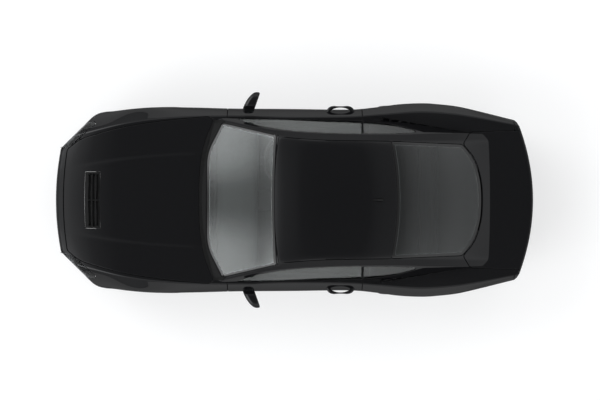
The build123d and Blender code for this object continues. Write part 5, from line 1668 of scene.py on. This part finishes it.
# a dome that is dark overhead, brightest round 50 degrees up, with a brighter patch off each front corner of the car
dome = {"tops": ((0.0, 0.55), (0.30, 0.70), (0.62, 0.95), (0.80, 1.30), (0.885, 0.45), (0.95, 0.17), (1.0, 0.13)),
        "patchElevation": 34.0, "patchTurn": 36.0, "patchLevel": 2.8, "patchReach": (0.885, 0.99)}
world = bpy.data.worlds.new("studio")
bpy.context.scene.world = world
world.use_nodes = True
sky = world.node_tree
background = sky.nodes["Background"]
towards = sky.nodes.new("ShaderNodeTexCoord")
split, ramp = sky.nodes.new("ShaderNodeSeparateXYZ"), sky.nodes.new("ShaderNodeFloatCurve")
sky.links.new(towards.outputs["Object"], split.inputs["Vector"])
sky.links.new(split.outputs["Z"], ramp.inputs["Value"])
curve = ramp.mapping.curves[0]
ramp.mapping.clip_max_y = 2.0
curve.points[0].location, curve.points[1].location = dome["tops"][0], dome["tops"][-1]
for height, level in dome["tops"][1:-1]:
    curve.points.new(height, level)
for point in curve.points:
    point.handle_type = "VECTOR"
ramp.mapping.update()
acrossCar, folded = sky.nodes.new("ShaderNodeMath"), sky.nodes.new("ShaderNodeCombineXYZ")
acrossCar.operation = "ABSOLUTE"
sky.links.new(split.outputs["Y"], acrossCar.inputs[0])
for source, axis in ((split.outputs["X"], "X"), (acrossCar.outputs["Value"], "Y"), (split.outputs["Z"], "Z")):
    sky.links.new(source, folded.inputs[axis])
facing, lobe = sky.nodes.new("ShaderNodeVectorMath"), sky.nodes.new("ShaderNodeMapRange")
facing.operation, lobe.interpolation_type = "DOT_PRODUCT", "SMOOTHSTEP"
elevation, patchTurn = math.radians(dome["patchElevation"]), math.radians(dome["patchTurn"])
facing.inputs[1].default_value = (-math.cos(elevation) * math.cos(patchTurn), math.cos(elevation) * math.sin(patchTurn),
                                  math.sin(elevation))
sky.links.new(folded.outputs["Vector"], facing.inputs[0])
lobe.inputs["From Min"].default_value, lobe.inputs["From Max"].default_value = dome["patchReach"]
lobe.inputs["To Max"].default_value = dome["patchLevel"]
sky.links.new(facing.outputs["Value"], lobe.inputs["Value"])
level = sky.nodes.new("ShaderNodeMath")
sky.links.new(ramp.outputs["Value"], level.inputs[0])
sky.links.new(lobe.outputs["Result"], level.inputs[1])
sky.links.new(level.outputs["Value"], background.inputs["Strength"])
background.inputs["Color"].default_value = (0.97, 0.985, 1.0, 1)

view = {"height": 40.0, "planeZ": 0.6, "centreX": 0.0675, "span": 6.075}
camera = bpy.data.cameras.new("camera")
camera.sensor_width = 36.0
camera.lens = 36.0 * view["height"] / view["span"]
camera.clip_end = 200
viewer = bpy.data.objects.new("camera", camera)
bpy.context.scene.collection.objects.link(viewer)
viewer.location = (view["centreX"], 0, view["height"] + view["planeZ"])
bpy.context.scene.camera = viewer
bpy.context.scene.view_settings.view_transform = "Standard"
print("stage set")
